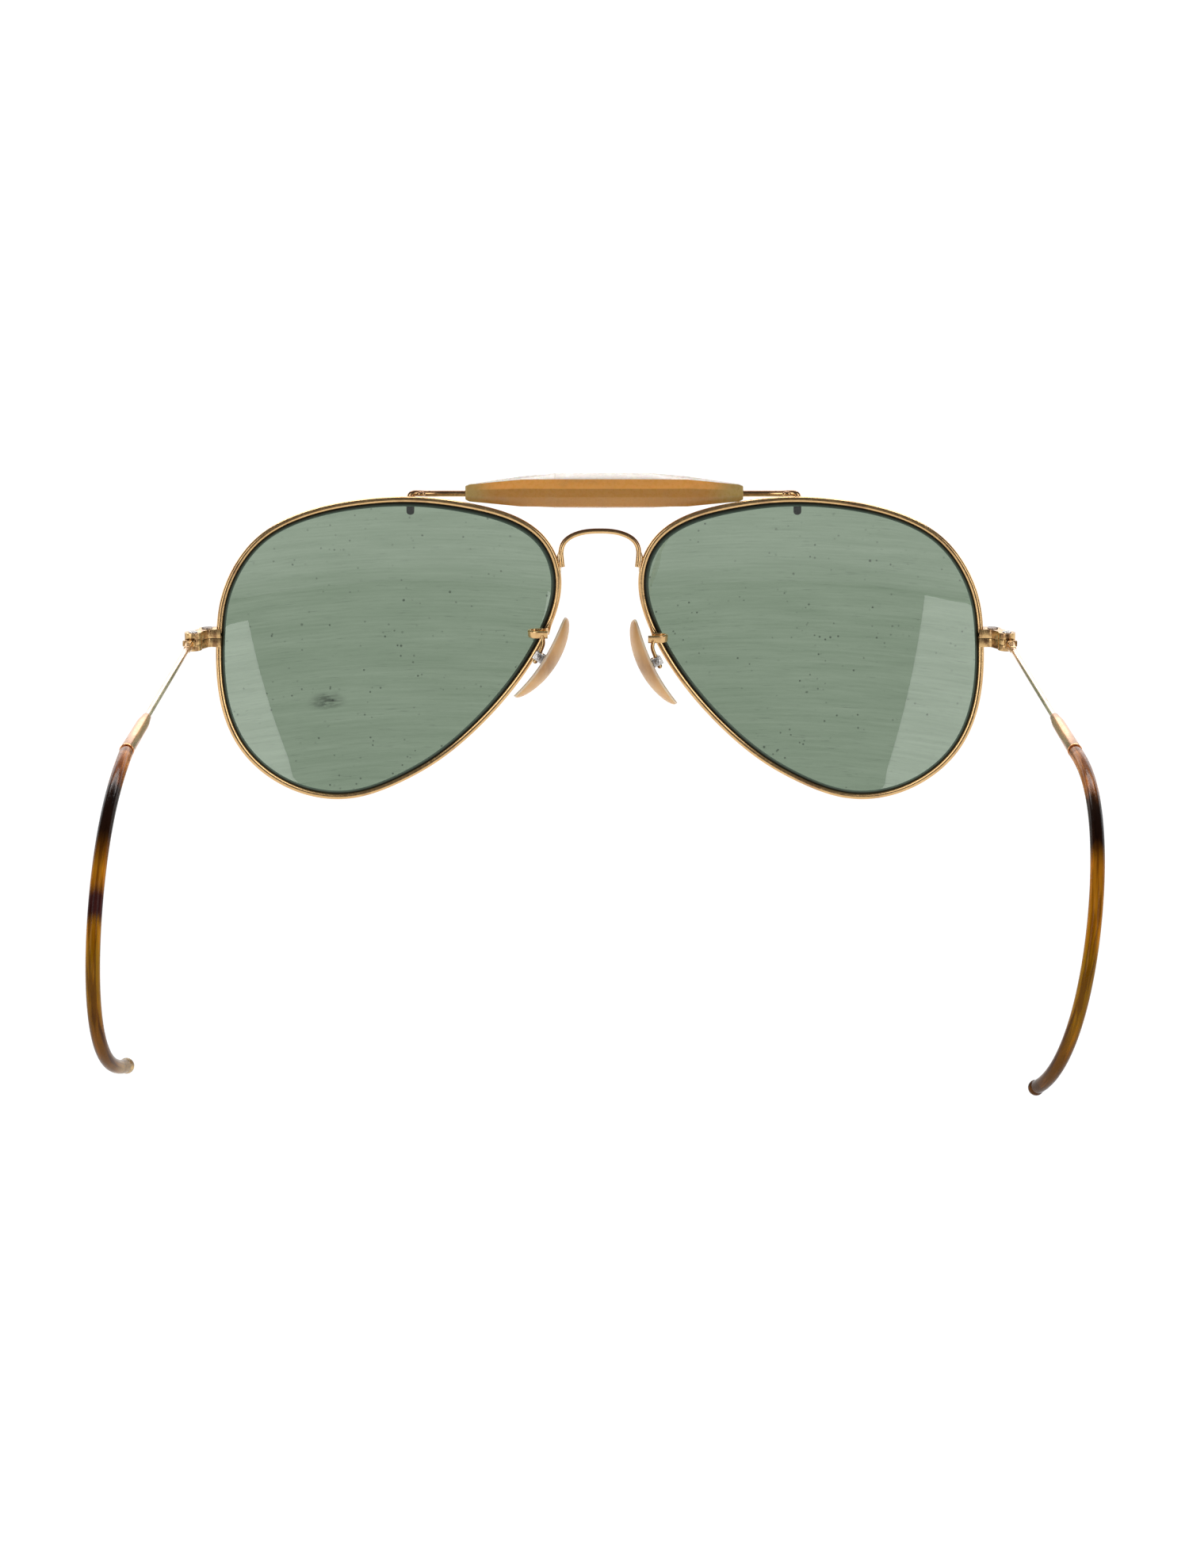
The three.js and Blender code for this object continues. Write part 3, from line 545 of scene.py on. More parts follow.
def glass_material():
    """Grey-green tinted glass with wipe marks, dark specks, short scratches and a rubbed mark."""
    made = Material("tinted_glass", Roughness=0.01, IOR=1.5, Specular_IOR_Level=0.25)
    made.shader.inputs["Transmission Weight"].default_value = 1.0
    wiped = made.noise(1.0, 6.0, made.stretched((50.0, 50.0, 1300.0)), roughness=0.7)
    streaks = made.ramp(wiped, [(0.38, 0.0), (0.68, 1.0)])
    colour = made.mix(streaks, (0.240, 0.306, 0.227), (0.180, 0.240, 0.170))
    for scale, size, amount in ((330.0, 0.10, 0.51), (650.0, 0.15, 0.50)):
        cells = made.add("TexVoronoi", {"Vector": made.place, "Scale": scale, "Randomness": 1.0})
        dots = made.ramp(cells.outputs["Distance"], [(size * 0.5, 1.0), (size, 0.0)])
        sparse = made.ramp(made.noise(scale / 3, 2.0), [(amount, 0.0), (amount + 0.1, 1.0)])
        colour = made.mix(made.mix(1.0, dots, sparse, "MULTIPLY"), colour, (0.03, 0.04, 0.03))
    scratches = made.noise(1.0, 3.0, made.stretched((260.0, 260.0, 5200.0)), roughness=0.6)
    colour = made.mix(made.ramp(scratches, [(0.62, 0.0), (0.74, 0.7)]), colour, (0.09, 0.12, 0.09))
    blur = made.noise(1.0, 4.0, made.stretched((500.0, 500.0, 3000.0)), roughness=0.7)
    rub = made.mix(1.0, smudge(made), made.ramp(blur, [(0.34, 0.0), (0.56, 1.0)]), "MULTIPLY")
    made.feed("Base Color", made.mix(rub, colour, (0.045, 0.058, 0.044)))
    return made.material


def ground_glass_material():
    """The lens's bevel, left matt from grinding; its dark grey-green is partly its own tone and
    partly painted shade, blackest where it sits in the rim.
    """
    made = Material("ground_glass", Roughness=0.55, Specular_IOR_Level=0.3)
    grain = made.noise(2500.0, 4.0)
    depth = made.stored("depth")
    shade = made.ramp(depth, [
        (0.0, (0.09, 0.135, 0.10)), (0.35, (0.035, 0.05, 0.038)), (0.6, (0.004, 0.005, 0.004)),
    ])
    made.feed("Base Color", made.mix(made.scaled(grain, 0.5), shade, (0.02, 0.028, 0.02)))
    made.bump(grain, 0.1)
    return made.material


def brow_material():
    """Amber plastic with painted light: lighter on upward facets, a painted highlight on the top
    ridge, and yellower where the light passes through its thin ends.
    """
    made = Material("amber_plastic", IOR=1.49, Subsurface_Weight=0.35, Subsurface_Scale=0.002)
    made.shader.inputs["Subsurface Radius"].default_value = (1.0, 0.6, 0.2)
    streaks = made.noise(1.0, 5.0, made.stretched((130.0, 700.0, 700.0)), roughness=0.6)
    body = made.mix(streaks, (0.54, 0.26, 0.062), (0.45, 0.208, 0.044))
    # Painted light: facets that face up are lighter.
    painted_top_light = made.ramp(made.upward(), [(0.40, 0.0), (0.54, 1.0)])
    body = made.mix(painted_top_light, body, made.mix(streaks, (0.92, 0.45, 0.11), (0.80, 0.37, 0.08)))
    clouds = made.ramp(made.noise(260.0, 3.0), [(0.5, 0.0), (0.75, 0.3)], smooth=True)
    body = made.mix(clouds, body, (0.42, 0.24, 0.10))
    distance = made.add("Math", {0: made.along_x(), 1: BAR_SHIFT * MM}, operation="SUBTRACT")
    reach = made.add("Math", {0: distance.outputs[0]}, operation="ABSOLUTE")
    share = made.scaled(reach.outputs[0], 1 / (BAR_STATIONS[-1][0] * MM))
    ends = made.ramp(share, [(0.72, 0.0), (0.99, 1.0)], smooth=True)
    body = made.mix(ends, body, (0.47, 0.33, 0.11))
    # Painted highlight: the top ridge is nearly white.
    ridge = made.ramp(made.upward(), [(0.82, 0.0), (0.93, 0.9)], smooth=True)
    made.feed("Base Color", made.mix(ridge, body, (0.93, 0.88, 0.82)))
    made.roughen(made.noise(1500.0, 4.0), (0.3, 0.2), (0.7, 0.38))
    made.bump(made.noise(2600.0, 3.0), 0.05)
    return made.material


def pad_material():
    """Cream plastic, browner round the cradle, with a painted highlight along its back edge."""
    made = Material("cream_plastic", IOR=1.49, Subsurface_Weight=0.45, Subsurface_Scale=0.002)
    made.shader.inputs["Subsurface Radius"].default_value = (1.0, 0.7, 0.4)
    grain = made.noise(1.0, 5.0, made.stretched((600.0, 600.0, 180.0)), roughness=0.6)
    body = made.mix(grain, (0.72, 0.45, 0.21), (0.59, 0.34, 0.14))
    darkening = made.stored("darkening")
    body = made.mix(made.mix(1.0, darkening, grain, "MULTIPLY"), body, (0.24, 0.10, 0.03))
    # Painted highlight along the back edge.
    painted_edge_highlight = made.stored("painted_edge_highlight")
    made.feed("Base Color", made.mix(painted_edge_highlight, body, (0.95, 0.86, 0.74)))
    made.roughen(made.noise(2000.0, 4.0), (0.3, 0.28), (0.7, 0.5))
    made.bump(made.noise(3000.0, 3.0), 0.05)
    return made.material


def tortoise_material(name, bands):
    """Amber and brown plastic in cloudy bands along the cable, drawn out into lines."""
    made = Material(name, IOR=1.2, Specular_IOR_Level=0.3, Transmission_Weight=0.55)
    along = made.stored("along")
    skin = made.stored("skin", "Vector")
    clouds = made.noise(1.6, 3.0, skin)
    drift = made.add("Math", {0: clouds, 1: 0.06, 2: -0.03}, operation="MULTIPLY_ADD")
    place = made.add("Math", {0: along, 1: drift.outputs[0]}, operation="ADD").outputs[0]
    colour = made.ramp(place, bands)
    lines = made.ramp(made.noise(1.7, 2.0, skin), [(0.47, 0.0), (0.64, 0.85)], smooth=True)
    colour = made.mix(lines, colour, (0.30, 0.20, 0.14), "MULTIPLY")
    # Lighter lines along the cable: partly paler plastic, partly a painted lengthwise highlight.
    paler_lines_and_sheen = made.ramp(made.noise(2.6, 1.0, skin), [(0.56, 0.0), (0.68, 0.6)], smooth=True)
    colour = made.mix(paler_lines_and_sheen, colour, made.mix(1.0, colour, (1.9, 1.7, 1.2), "MULTIPLY"))
    made.feed("Base Color", colour)
    made.roughen(made.noise(2200.0, 4.0), (0.3, 0.1), (0.7, 0.24))
    made.bump(made.noise(1500.0, 3.0), 0.05)
    return made.material


GOLD = gold_material("gold_plating")
# Painted shade on upward faces, for the bridge, the brow wire and its joints.
TOP_SHADED_GOLD = gold_material("top_shaded_gold", top_shade=0.85)
PALE = gold_material("pale_gold", (0.95, 0.74, 0.57), (0.76, 0.54, 0.36))
ROSY = gold_material("rosy_gold", (0.86, 0.42, 0.18), (0.66, 0.27, 0.085))
SHADE_SHEATH = painted_shade_material()
SOLDER = solder_material()
FILED = brushed_gold_material()
STEEL = steel_material("plain_steel", (0.60, 0.58, 0.56), (0.27, 0.22, 0.19))
DARK_STEEL = steel_material("stained_steel", (0.27, 0.21, 0.17), (0.10, 0.07, 0.05))
GLASS = glass_material()
GROUND_GLASS = ground_glass_material()
AMBER = brow_material()
CREAM = pad_material()
TORTOISE = {
    side: tortoise_material(f"tortoise_{side}", bands) for side, bands in CABLE_BANDS.items()
}

# ---- Rims and lenses -----------------------------------------------------------------------


def on_lens(flat, back):
    """Points over the lens's middle surface at (u, v), pushed back along its normal."""
    flat = np.atleast_2d(flat)
    sag = LENS_CURVE - np.sqrt(LENS_CURVE ** 2 - (flat ** 2).sum(axis=1))
    points = np.stack([flat[:, 0], sag, flat[:, 1]], axis=1)
    inward = np.array([0, LENS_CURVE, 0]) - points
    return points + inward / np.linalg.norm(inward, axis=1)[:, None] * back


OUTLINE = smooth_curve(RIM_OUTLINE, RIM_STEPS * RIM_FINENESS, closed=True)
OUTLINE_ALONG = np.roll(OUTLINE, -1, axis=0) - np.roll(OUTLINE, 1, axis=0)
OUTLINE_ALONG /= np.linalg.norm(OUTLINE_ALONG, axis=1)[:, None]
OUTLINE_IN = np.stack([-OUTLINE_ALONG[:, 1], OUTLINE_ALONG[:, 0]], axis=1)


def rim_points(inset, depth, steps=slice(None, None, RIM_FINENESS)):
    return on_lens(OUTLINE[steps] + OUTLINE_IN[steps] * inset, depth)


def rim_at(height):
    """Where the nose side of the rim crosses a height, in the glasses' frame."""
    points = np.array([LENS @ Vector(p) for p in rim_points(0.4, 0.3, slice(None))])
    nose = points[points[:, 0] < LENS_X]
    return nose[np.argmin(np.abs(nose[:, 2] - height))]


def rim(side, mirror):
    """The eyewire: a grooved wire all round the lens, with a split inside the end piece."""
    half = [
        (0.0, 0.1), (0.03, 0.24), (0.09, 0.36), (0.18, 0.45), (0.32, 0.52), (0.5, 0.545),
        (0.66, 0.52), (0.8, 0.47), (0.9, 0.41), (0.95, 0.34), (0.68, 0.04),
    ]
    section = half + [(inset, -depth) for inset, depth in reversed(half)]
    margin = 1
    steps = slice(margin, RIM_STEPS * RIM_FINENESS - margin, RIM_FINENESS)
    rings = np.stack([rim_points(inset, depth, steps) for inset, depth in section], axis=1)
    piece = draft(f"eyewire_{side}", loft(rings))
    # Painted shade: the inner lip beside the lens is darkened in colour.
    lip, darkening = 0.85, 0.7
    mark(piece, "edge", [darkening if inset > lip else 0.0 for inset, _ in section] * len(rings))
    matrix = mirrored(mirror) @ LENS
    finish_piece(piece, matrix, GOLD, "gold", "front", [f"rim_{side}"], crease=50)


def lens(side, mirror):
    """The lens: two spherical faces, a small safety edge, and a bevel to the rim's groove."""
    safety, blunt = 0.07, 0.05
    steps, inwards = OUTLINE[::RIM_FINENESS], OUTLINE_IN[::RIM_FINENESS]
    nearer_nose = np.clip(0.5 - steps[:, 0] / 40, 0, 1)[:, None]
    shoulder = LENS_SHOULDER[0] + (LENS_SHOULDER[1] - LENS_SHOULDER[0]) * nearer_nose

    def face_rings(depth):
        rings = []
        edge = steps + inwards * (shoulder + safety)
        for fraction in (*np.linspace(0.004, 0.98, 12), 0.996):
            rings.append(on_lens(edge * fraction, depth))
        return rings

    front, back = face_rings(-LENS_HALF), face_rings(LENS_HALF)
    rings = front + [
        rim_points(shoulder + safety, -LENS_HALF),
        rim_points(shoulder - safety, -LENS_HALF + safety),
        rim_points(LENS_APEX + blunt, -safety), rim_points(LENS_APEX + blunt, safety),
        rim_points(shoulder - safety, LENS_HALF - safety),
        rim_points(shoulder + safety, LENS_HALF),
    ] + back[::-1]
    piece = draft(f"tinted_lens_{side}", loft(rings))
    nodes = [f"lens_{side}"]
    finish_piece(piece, mirrored(mirror) @ LENS, GLASS, "lens_glass", "front", nodes, crease=12)
    piece.data.materials.append(GROUND_GLASS)
    first, bevel_rows = len(front), 5
    for face in piece.data.polygons[first * RIM_STEPS:(first + bevel_rows) * RIM_STEPS]:
        face.material_index = 1
    # Painted shade: the bevel rows inside the rim's groove are the darkest.
    depth = np.zeros((len(rings), RIM_STEPS))
    depth[first + 2:first + 4] = 1
    mark(piece, "depth", depth.ravel())


# ---- Bridge, brow wire and brow bar --------------------------------------------------------


def both_ways(half):
    """A path over the middle, from its half on the wearer's left."""
    return [(-x, y, z) for x, y, z in reversed(half[1:])] + list(half)


def blob(centre, radii):
    """A smooth lump of brazing."""
    angles = np.linspace(-math.pi / 2, math.pi / 2, 13)
    points, faces = lathe([(math.cos(a), math.sin(a)) for a in angles], 20)
    return points * np.array(radii) + np.array(centre), faces


def bridge():
    path = smooth_curve(both_ways(BRIDGE_BOW), 160)
    piece = draft("nose_bridge", tube(path, BRIDGE_RADIUS, 28))
    bevel(piece, 0.08, 2, 60)
    finish_piece(piece, GLASSES @ FRONT, TOP_SHADED_GOLD, "gold", "front", ["bridge"], crease=50)
    for side, mirror in (("left", 1), ("right", -1)):
        joint = draft(f"bridge_joint_{side}", joined(
            blob((7.05, 3.35, 14.9), (0.42, 0.42, 1.35)),
            blob((7.0, 3.4, 13.3), (0.3, 0.38, 1.3))))
        finish_piece(joint, mirrored(mirror) @ FRONT, SOLDER, "gold", "front", [], crease=60)


def brow_wire():
    path = smooth_curve(both_ways(BROW_WIRE_END), 260) + np.array([BROW_WIRE_SHIFT, 0, 0])
    path, start_radii = round_end(path, BROW_WIRE_RADIUS, start=True)
    path, radii = round_end(path, BROW_WIRE_RADIUS)
    radii[:len(start_radii)] = start_radii
    piece = draft("top_wire", tube(path, radii, 24))
    finish_piece(piece, GLASSES @ FRONT, TOP_SHADED_GOLD, "gold", "front", ["brow_wire"], crease=60)
    for side, mirror in (("left", 1), ("right", -1)):
        x, y, z = BROW_WIRE_END[-3]
        corner = np.array([mirror * x + BROW_WIRE_SHIFT, y, z])
        joint = draft(f"brow_joint_{side}", joined(
            blob(corner + (-mirror * 0.2, 0.5, -0.35), (0.75, 0.6, 0.5)),
            blob(corner + (-mirror * 1.9, 0.1, 0.35), (0.85, 0.5, 0.42))))
        finish_piece(joint, GLASSES @ FRONT, TOP_SHADED_GOLD, "gold", "front", [], crease=60)
        # Painted shade: a near-black shell over each end of the wire, below TAIL_TOP.
        tail = (path[:, 2] < TAIL_TOP) & (path[:, 0] * mirror > 0)
        made = draft(f"wire_tail_{side}", tube(path[tail], radii[tail] + TAIL_SKIN, 24))
        finish_piece(made, GLASSES @ FRONT, SHADE_SHEATH, "gold", "front", [], crease=60)


def brow_bar():
    """The faceted bar: three facets on the back, a ridge above and below, and clipped ends."""
    ends = [(-x, *rest) for x, *rest in reversed(BAR_STATIONS[1:])]
    rings = []
    for x, back, ridge, depth in ends + BAR_STATIONS:
        section = []
        for half in (ridge, ridge * BAR_LOWER_RIDGE):
            section = [(y, -z) for y, z in reversed(section)] + [
                (BAR_BACK, back * 0.31), (BAR_BACK - depth * 0.1, back),
                (BAR_BACK - depth * 0.42, half), (BAR_BACK - depth * 0.78, half * 0.86),
                (BAR_BACK - depth, half * 0.3),
            ]
        rings.append([(x + BAR_SHIFT, y, BAR_HEIGHT - z) for y, z in section])
    stations = np.array(rings)
    fine = np.linspace(0, 1, 97)
    knots = (stations[:, 0, 0] - stations[0, 0, 0]) / np.ptp(stations[:, 0, 0])
    eased = np.sort(np.concatenate([fine[1:-1], knots]))
    corners = stations.reshape(len(stations), -1).T
    dense = np.stack([np.interp(eased, knots, corner) for corner in corners], axis=1)
    piece = draft("brow_grip", loft(dense.reshape(len(eased), -1, 3)))
    bevel(piece, 0.13, 3, 7)
    finish_piece(piece, GLASSES @ FRONT, AMBER, "brow_plastic", "front", ["brow_bar"], crease=35)


# ---- End pieces and hinges -----------------------------------------------------------------


def end_piece_outline():
    """The end piece from above: the lock, the lobe round its screw, the neck and the hinge leaf."""
    lobe, leaf = RIM_SCREW, (HINGE_X, 0.0)
    heading = math.degrees(math.atan2(leaf[1] - lobe[1], leaf[0] - lobe[0]))
    at_lobe = math.degrees(math.asin(NECK_WIDTH / 2 / RIM_SCREW_LOBE))
    at_leaf = math.degrees(math.asin(NECK_WIDTH / 2 / HINGE_RADIUS))
    outline = [(LOCK_INNER, LOCK_FRONT)]
    outline += arc(lobe, RIM_SCREW_LOBE, -72, heading - at_lobe, 16)
    outline += arc(leaf, HINGE_RADIUS, heading + 180 + at_leaf - 360, heading + 180 - at_leaf, 32)
    outline += arc(lobe, RIM_SCREW_LOBE, heading + at_lobe, 118, 5)
    outline += [(LOCK_INNER, LOCK_BACK)]
    return outline


def end_pieces(side, mirror):
    seam = (HINGE_TOP + HINGE_BOTTOM) / 2
    space = HINGE_RADIUS + 0.06
    spans = (("upper", seam + PLAY, HINGE_TOP), ("lower", HINGE_BOTTOM, seam - PLAY))
    for half, bottom, top in spans:
        piece = draft(f"lock_{half}_{side}", extruded(end_piece_outline(), bottom, top))
        knuckle_space = [(space, HINGE_BOTTOM + HINGE_LEAF), (space, HINGE_TOP - HINGE_LEAF)]
        cut(piece, moved(lathe(knuckle_space, 48), Matrix.Translation((HINGE_X, 0, 0))))
        bevel(piece, 0.09, 3, 40)
        finish_piece(piece, mirrored(mirror), FILED, "gold", "front", [f"end_block_{half}_{side}"])


def screw_shell(radius, length, head_radius, head_height):
    """A screw hanging down from its head's underside at the origin."""
    rim_height = head_height * 0.6
    return lathe([
        (radius - 0.08, -length), (radius, -length + 0.08), (radius, 0), (head_radius * 0.97, 0),
        (head_radius, head_height * 0.12), (head_radius, rim_height),
        (head_radius * 0.93, head_height * 0.86), (head_radius * 0.8, head_height),
        (0, head_height * 1.04),
    ], 36)


def slotted(piece, head_radius, head_height):
    reach, width = head_radius * 1.2, head_radius * 0.14
    cut(piece, box_shell((-reach, -width, head_height * 0.4), (reach, width, head_height * 2)))
    return piece


def upright_screws(side, mirror):
    places = (
        ("lock_screw", "rim_screw", RIM_SCREW, RIM_SCREW_HEAD, 24, DARK_STEEL),
        ("pivot_screw", "hinge_screw", (HINGE_X, 0.0), HINGE_SCREW_HEAD, -38, STEEL),
    )
    for name, node, (x, y), head, turn, metal in places:
        shell = screw_shell(SCREW_RADIUS, HINGE_TOP - HINGE_BOTTOM + 0.1, head, SCREW_HEAD_HEIGHT)
        piece = slotted(draft(f"{name}_{side}", shell), head, SCREW_HEAD_HEIGHT)
        place = Matrix.Translation((x, y, HINGE_TOP)) @ rotation("Z", turn)
        finish_piece(piece, mirrored(mirror) @ place, metal, "steel", "front", [f"{node}_{side}"])


def hinge_eye(side, mirror, body):
    """The temple's eye between the two leaves, and the lug that narrows to the wire."""
    bottom, top = HINGE_BOTTOM + HINGE_LEAF + PLAY, HINGE_TOP - HINGE_LEAF - PLAY
    # The shank behind the eye keeps to the outer side, to clear the end piece at full fold.
    inner_edge, outer_edge, shank_end = HINGE_X - 0.5, HINGE_X + 1.55, 2.3
    outline = arc((HINGE_X, 0.0), HINGE_RADIUS, 112, 388, 40)
    outline += [(outer_edge, shank_end), (inner_edge, shank_end)]
    piece = draft(f"hinge_eye_{side}", extruded(outline, bottom, top))
    bevel(piece, 0.07, 3, 40)
    finish_piece(piece, mirrored(mirror), FILED, "gold", body, [f"temple_knuckle_{side}"])
    # Distance back, middle across and up, half width and half height.
    stations = [
        (1.55, 0.42, 0.25, 0.74, 0.55), (1.7, 0.42, 0.22, 0.8, 0.8), (2.5, 0.44, 0.13, 0.74, 0.78),
        (3.3, 0.46, 0.07, 0.66, 0.68), (4.2, 0.48, 0.03, 0.58, 0.6),
        (LUG_END, TEMPLE_OFFSET, 0, 0.55, 0.55), (LUG_END + 0.12, TEMPLE_OFFSET, 0, 0.46, 0.46),
    ]
    sides = 32
    across, upward = rounded_square(sides, 0.62)
    rings = [
        np.stack([HINGE_X + x + w * across, np.full(sides, y), z + h * upward], axis=1)
        for y, x, z, w, h in smooth_curve(stations, 40)
    ]
    lug = draft(f"hinge_lug_{side}", loft(rings))
    finish_piece(lug, mirrored(mirror), GOLD, "gold", body, [], crease=50)


# ---- Temples -------------------------------------------------------------------------------


def temple_line(shape, start, end):
    """Points of the temple's centre line, and how far along it each is from the hinge pin."""
    fine, spacing = 0.05, 0.5
    run = np.arange(0, shape["length"] + fine, fine)
    curvature = np.clip((run - shape["straight"]) / shape["ramp"], 0, 1) / shape["radius"]
    heading = np.concatenate([[0], np.cumsum((curvature[1:] + curvature[:-1]) / 2 * fine)])
    back = np.concatenate([[0], np.cumsum(np.cos(heading[1:]) * fine)])
    down = np.concatenate([[0], np.cumsum(np.sin(heading[1:]) * fine)])
    w = np.maximum(0, run - SLEEVE_END) / SLEEVE_END
    aside = sum(share * w ** power for share, power in zip(shape["sway"], (1, 2, 4)))
    line = np.stack([HINGE_X + TEMPLE_OFFSET + aside, back, -down], axis=1)
    wanted = np.linspace(start, end, max(2, round((end - start) / spacing)))
    return np.stack([np.interp(wanted, run, line[:, k]) for k in range(3)], axis=1), wanted


def turned_on_temple(name, profile, material, body, nodes, mirror):
    """A turned piece on the straight part of the temple, from (radius, distance) points."""
    piece = draft(name, lathe(profile, 32))
    place = Matrix.Translation((HINGE_X + TEMPLE_OFFSET, 0, 0)) @ rotation("X", -90)
    finish_piece(piece, mirrored(mirror) @ place, material, "gold", body, nodes, crease=35)


def temple(side, mirror, shape):
    body = f"temple_{side}"
    hinge_eye(side, mirror, body)
    r = TEMPLE_WIRE_RADIUS
    wire = [(r, LUG_END), (r, 20.0), (r, SLEEVE_START + 2)]
    turned_on_temple(f"temple_rod_{side}", wire, PALE, body, [f"temple_wire_{side}"], mirror)
    mouth, swell, end = SLEEVE_START, SLEEVE_START + 3.2, SLEEVE_END
    sleeve = [
        (r, mouth - 0.25), (0.62, mouth), (0.72, mouth + 0.35), (0.76, mouth + 1.6), (0.9, swell),
        (0.97, swell + 1.6), (1.0, end - 9), (1.05, end - 0.45), (1.09, end - 0.3),
        (1.09, end - 0.12), (1.02, end),
    ]
    turned_on_temple(f"ferrule_{side}", sleeve, ROSY, body, [f"temple_sleeve_{side}"], mirror)

    path, run = temple_line(shape, SLEEVE_END + 0.05, shape["length"] - TIP_RADIUS)
    radii = np.full(len(path), COVER_RADIUS)
    radii[0], radii[1] = COVER_RADIUS - 0.12, COVER_RADIUS - 0.02
    cover = draft(f"ear_cable_{side}", tube(path, radii, COVER_SIDES))
    share = (run - SLEEVE_END) / (shape["length"] - SLEEVE_END)
    turn = np.linspace(0, 2 * math.pi, COVER_SIDES, endpoint=False)
    around = np.stack([np.cos(turn), np.sin(turn)], axis=1)
    mark_cable(cover, np.repeat(share, COVER_SIDES), np.tile(around, (len(path), 1)))
    nodes = [f"cable_cover_{side}", f"cable_core_{side}"]
    plastic = TORTOISE[side], "tortoise_plastic"
    finish_piece(cover, mirrored(mirror), *plastic, body, nodes, crease=50)

    tip = draft(f"cable_end_{side}", cable_end_shell())
    around = np.array([vertex.co[:2] for vertex in tip.data.vertices]) / TIP_RADIUS
    mark_cable(tip, np.ones(len(around)), around)
    outwards = Vector(path[-1] - path[-2])
    place = Matrix.Translation(path[-1]) @ outwards.to_track_quat("Z", "X").to_matrix().to_4x4()
    finish_piece(tip, mirrored(mirror) @ place, *plastic, body, [f"cable_tip_{side}"])


def mark_cable(target, share, around):
    """Gives each point its share of the cable's length, and its place on the unrolled skin."""
    mark(target, "along", share)
    mark(target, "skin", np.column_stack([around, share * CABLE_GRAIN]))


def cable_end_shell():
    """The rounded end: a ball a little wider than the cable, with a small step behind it."""
    r = TIP_RADIUS
    angles = np.linspace(-0.75, math.pi / 2, 16)
    ball = [(r * math.cos(a), r * (0.75 + 0.87 * math.sin(a))) for a in angles]
    return lathe([(0.9, -0.3), (COVER_RADIUS * 0.97, 0.02)] + ball, 36)


# ---- Nose pads -----------------------------------------------------------------------------


def pad_frame(shape):
    """x across the pad to the back, y towards the nose, z up the pad, from its mounting face."""
    lean, turn = math.radians(shape["splay"]), math.radians(PAD_TURN)
    flat_normal, back = Vector((-math.cos(lean), 0, -math.sin(lean))), Vector((0, 1, 0))
    y = flat_normal * math.cos(turn) + back * math.sin(turn)
    x = back * math.cos(turn) - flat_normal * math.sin(turn)
    axes = Matrix((x, y, x.cross(y))).transposed().to_4x4()
    return Matrix.Translation(Vector(shape["pin"]) + y * PAD_PIN) @ axes


def nose_pad(side, mirror, shape):
    """A long, bent pad: flat where the cradle is set in, and domed towards the nose."""
    end_thickness, wall = 0.4, 0.35
    rings = []
    for angle in np.linspace(-math.pi / 2, math.pi / 2, 41):
        station, roundness = math.sin(angle), max(math.cos(angle), 0.03)
        width = PAD_WIDTH / 2 * roundness ** 0.8
        thickness = end_thickness + (PAD_THICKNESS - end_thickness) * roundness
        bend = -PAD_BEND * station ** 2
        round_steps = np.linspace(0, math.pi, 17)
        rise = thickness - wall
        dome = [(width * math.cos(a), wall + rise * math.sin(a)) for a in round_steps]
        outline = [(width * 0.86, 0.02), (width * 0.97, 0.14)] + dome
        outline += [(-width * 0.97, 0.14), (-width * 0.86, 0.02)]
        rings.append([(x, y + bend, station * PAD_LENGTH / 2) for x, y in outline])
    piece = draft(f"pad_{side}", loft(rings))
    heights = np.array(rings)[:, :, 2]
    darkening = np.clip(1.15 - np.abs(heights) / 3.2, 0, 1)
    # Painted highlight: the back edge's two rows are lighter.
    painted_edge_highlight = np.zeros(heights.shape)
    painted_edge_highlight[:, [1, 2]] = 0.5  # the back edge's two rows
    mark(piece, "darkening", darkening.ravel())
    mark(piece, "painted_edge_highlight", painted_edge_highlight.ravel())
    matrix, body = mirrored(mirror) @ pad_frame(shape), f"nose_pad_{side}"
    finish_piece(piece, matrix, CREAM, "pad_plastic", body, [f"nose_pad_{side}"], crease=60)


def pad_cradle(side, mirror, shape):
    """The steel cradle set into the pad, two cheeks on a base, and the screw across it."""
    base, cheek, gap, half, reach = 0.35, 0.4, 1.1, 0.75, 2.1
    outer = gap / 2 + cheek
    shells = [box_shell((-outer, -base, -half), (outer, 0.1, half))]
    for edge in (-1, 1):
        low, high = sorted((edge * gap / 2, edge * outer))
        shells.append(box_shell((low, -reach, -half), (high, -base + 0.05, half)))
    piece = draft(f"pad_cradle_{side}", joined(*shells))
    bevel(piece, 0.1, 3, 40)
    matrix = mirrored(mirror) @ pad_frame(shape)
    finish_piece(piece, matrix, STEEL, "steel", f"nose_pad_{side}", [f"pad_box_{side}"])
    pin_radius, head_radius, head_height = 0.3, 0.55, 0.22
    shell = screw_shell(pin_radius, 2 * outer + 0.15, head_radius, head_height)
    pin = slotted(draft(f"cradle_screw_{side}", shell), head_radius, head_height)
    place = Matrix.Translation((outer, -PAD_PIN, 0)) @ rotation("Y", 90) @ rotation("Z", 30)
    finish_piece(pin, matrix @ place, STEEL, "steel", f"nose_pad_{side}", [f"pad_screw_{side}"])


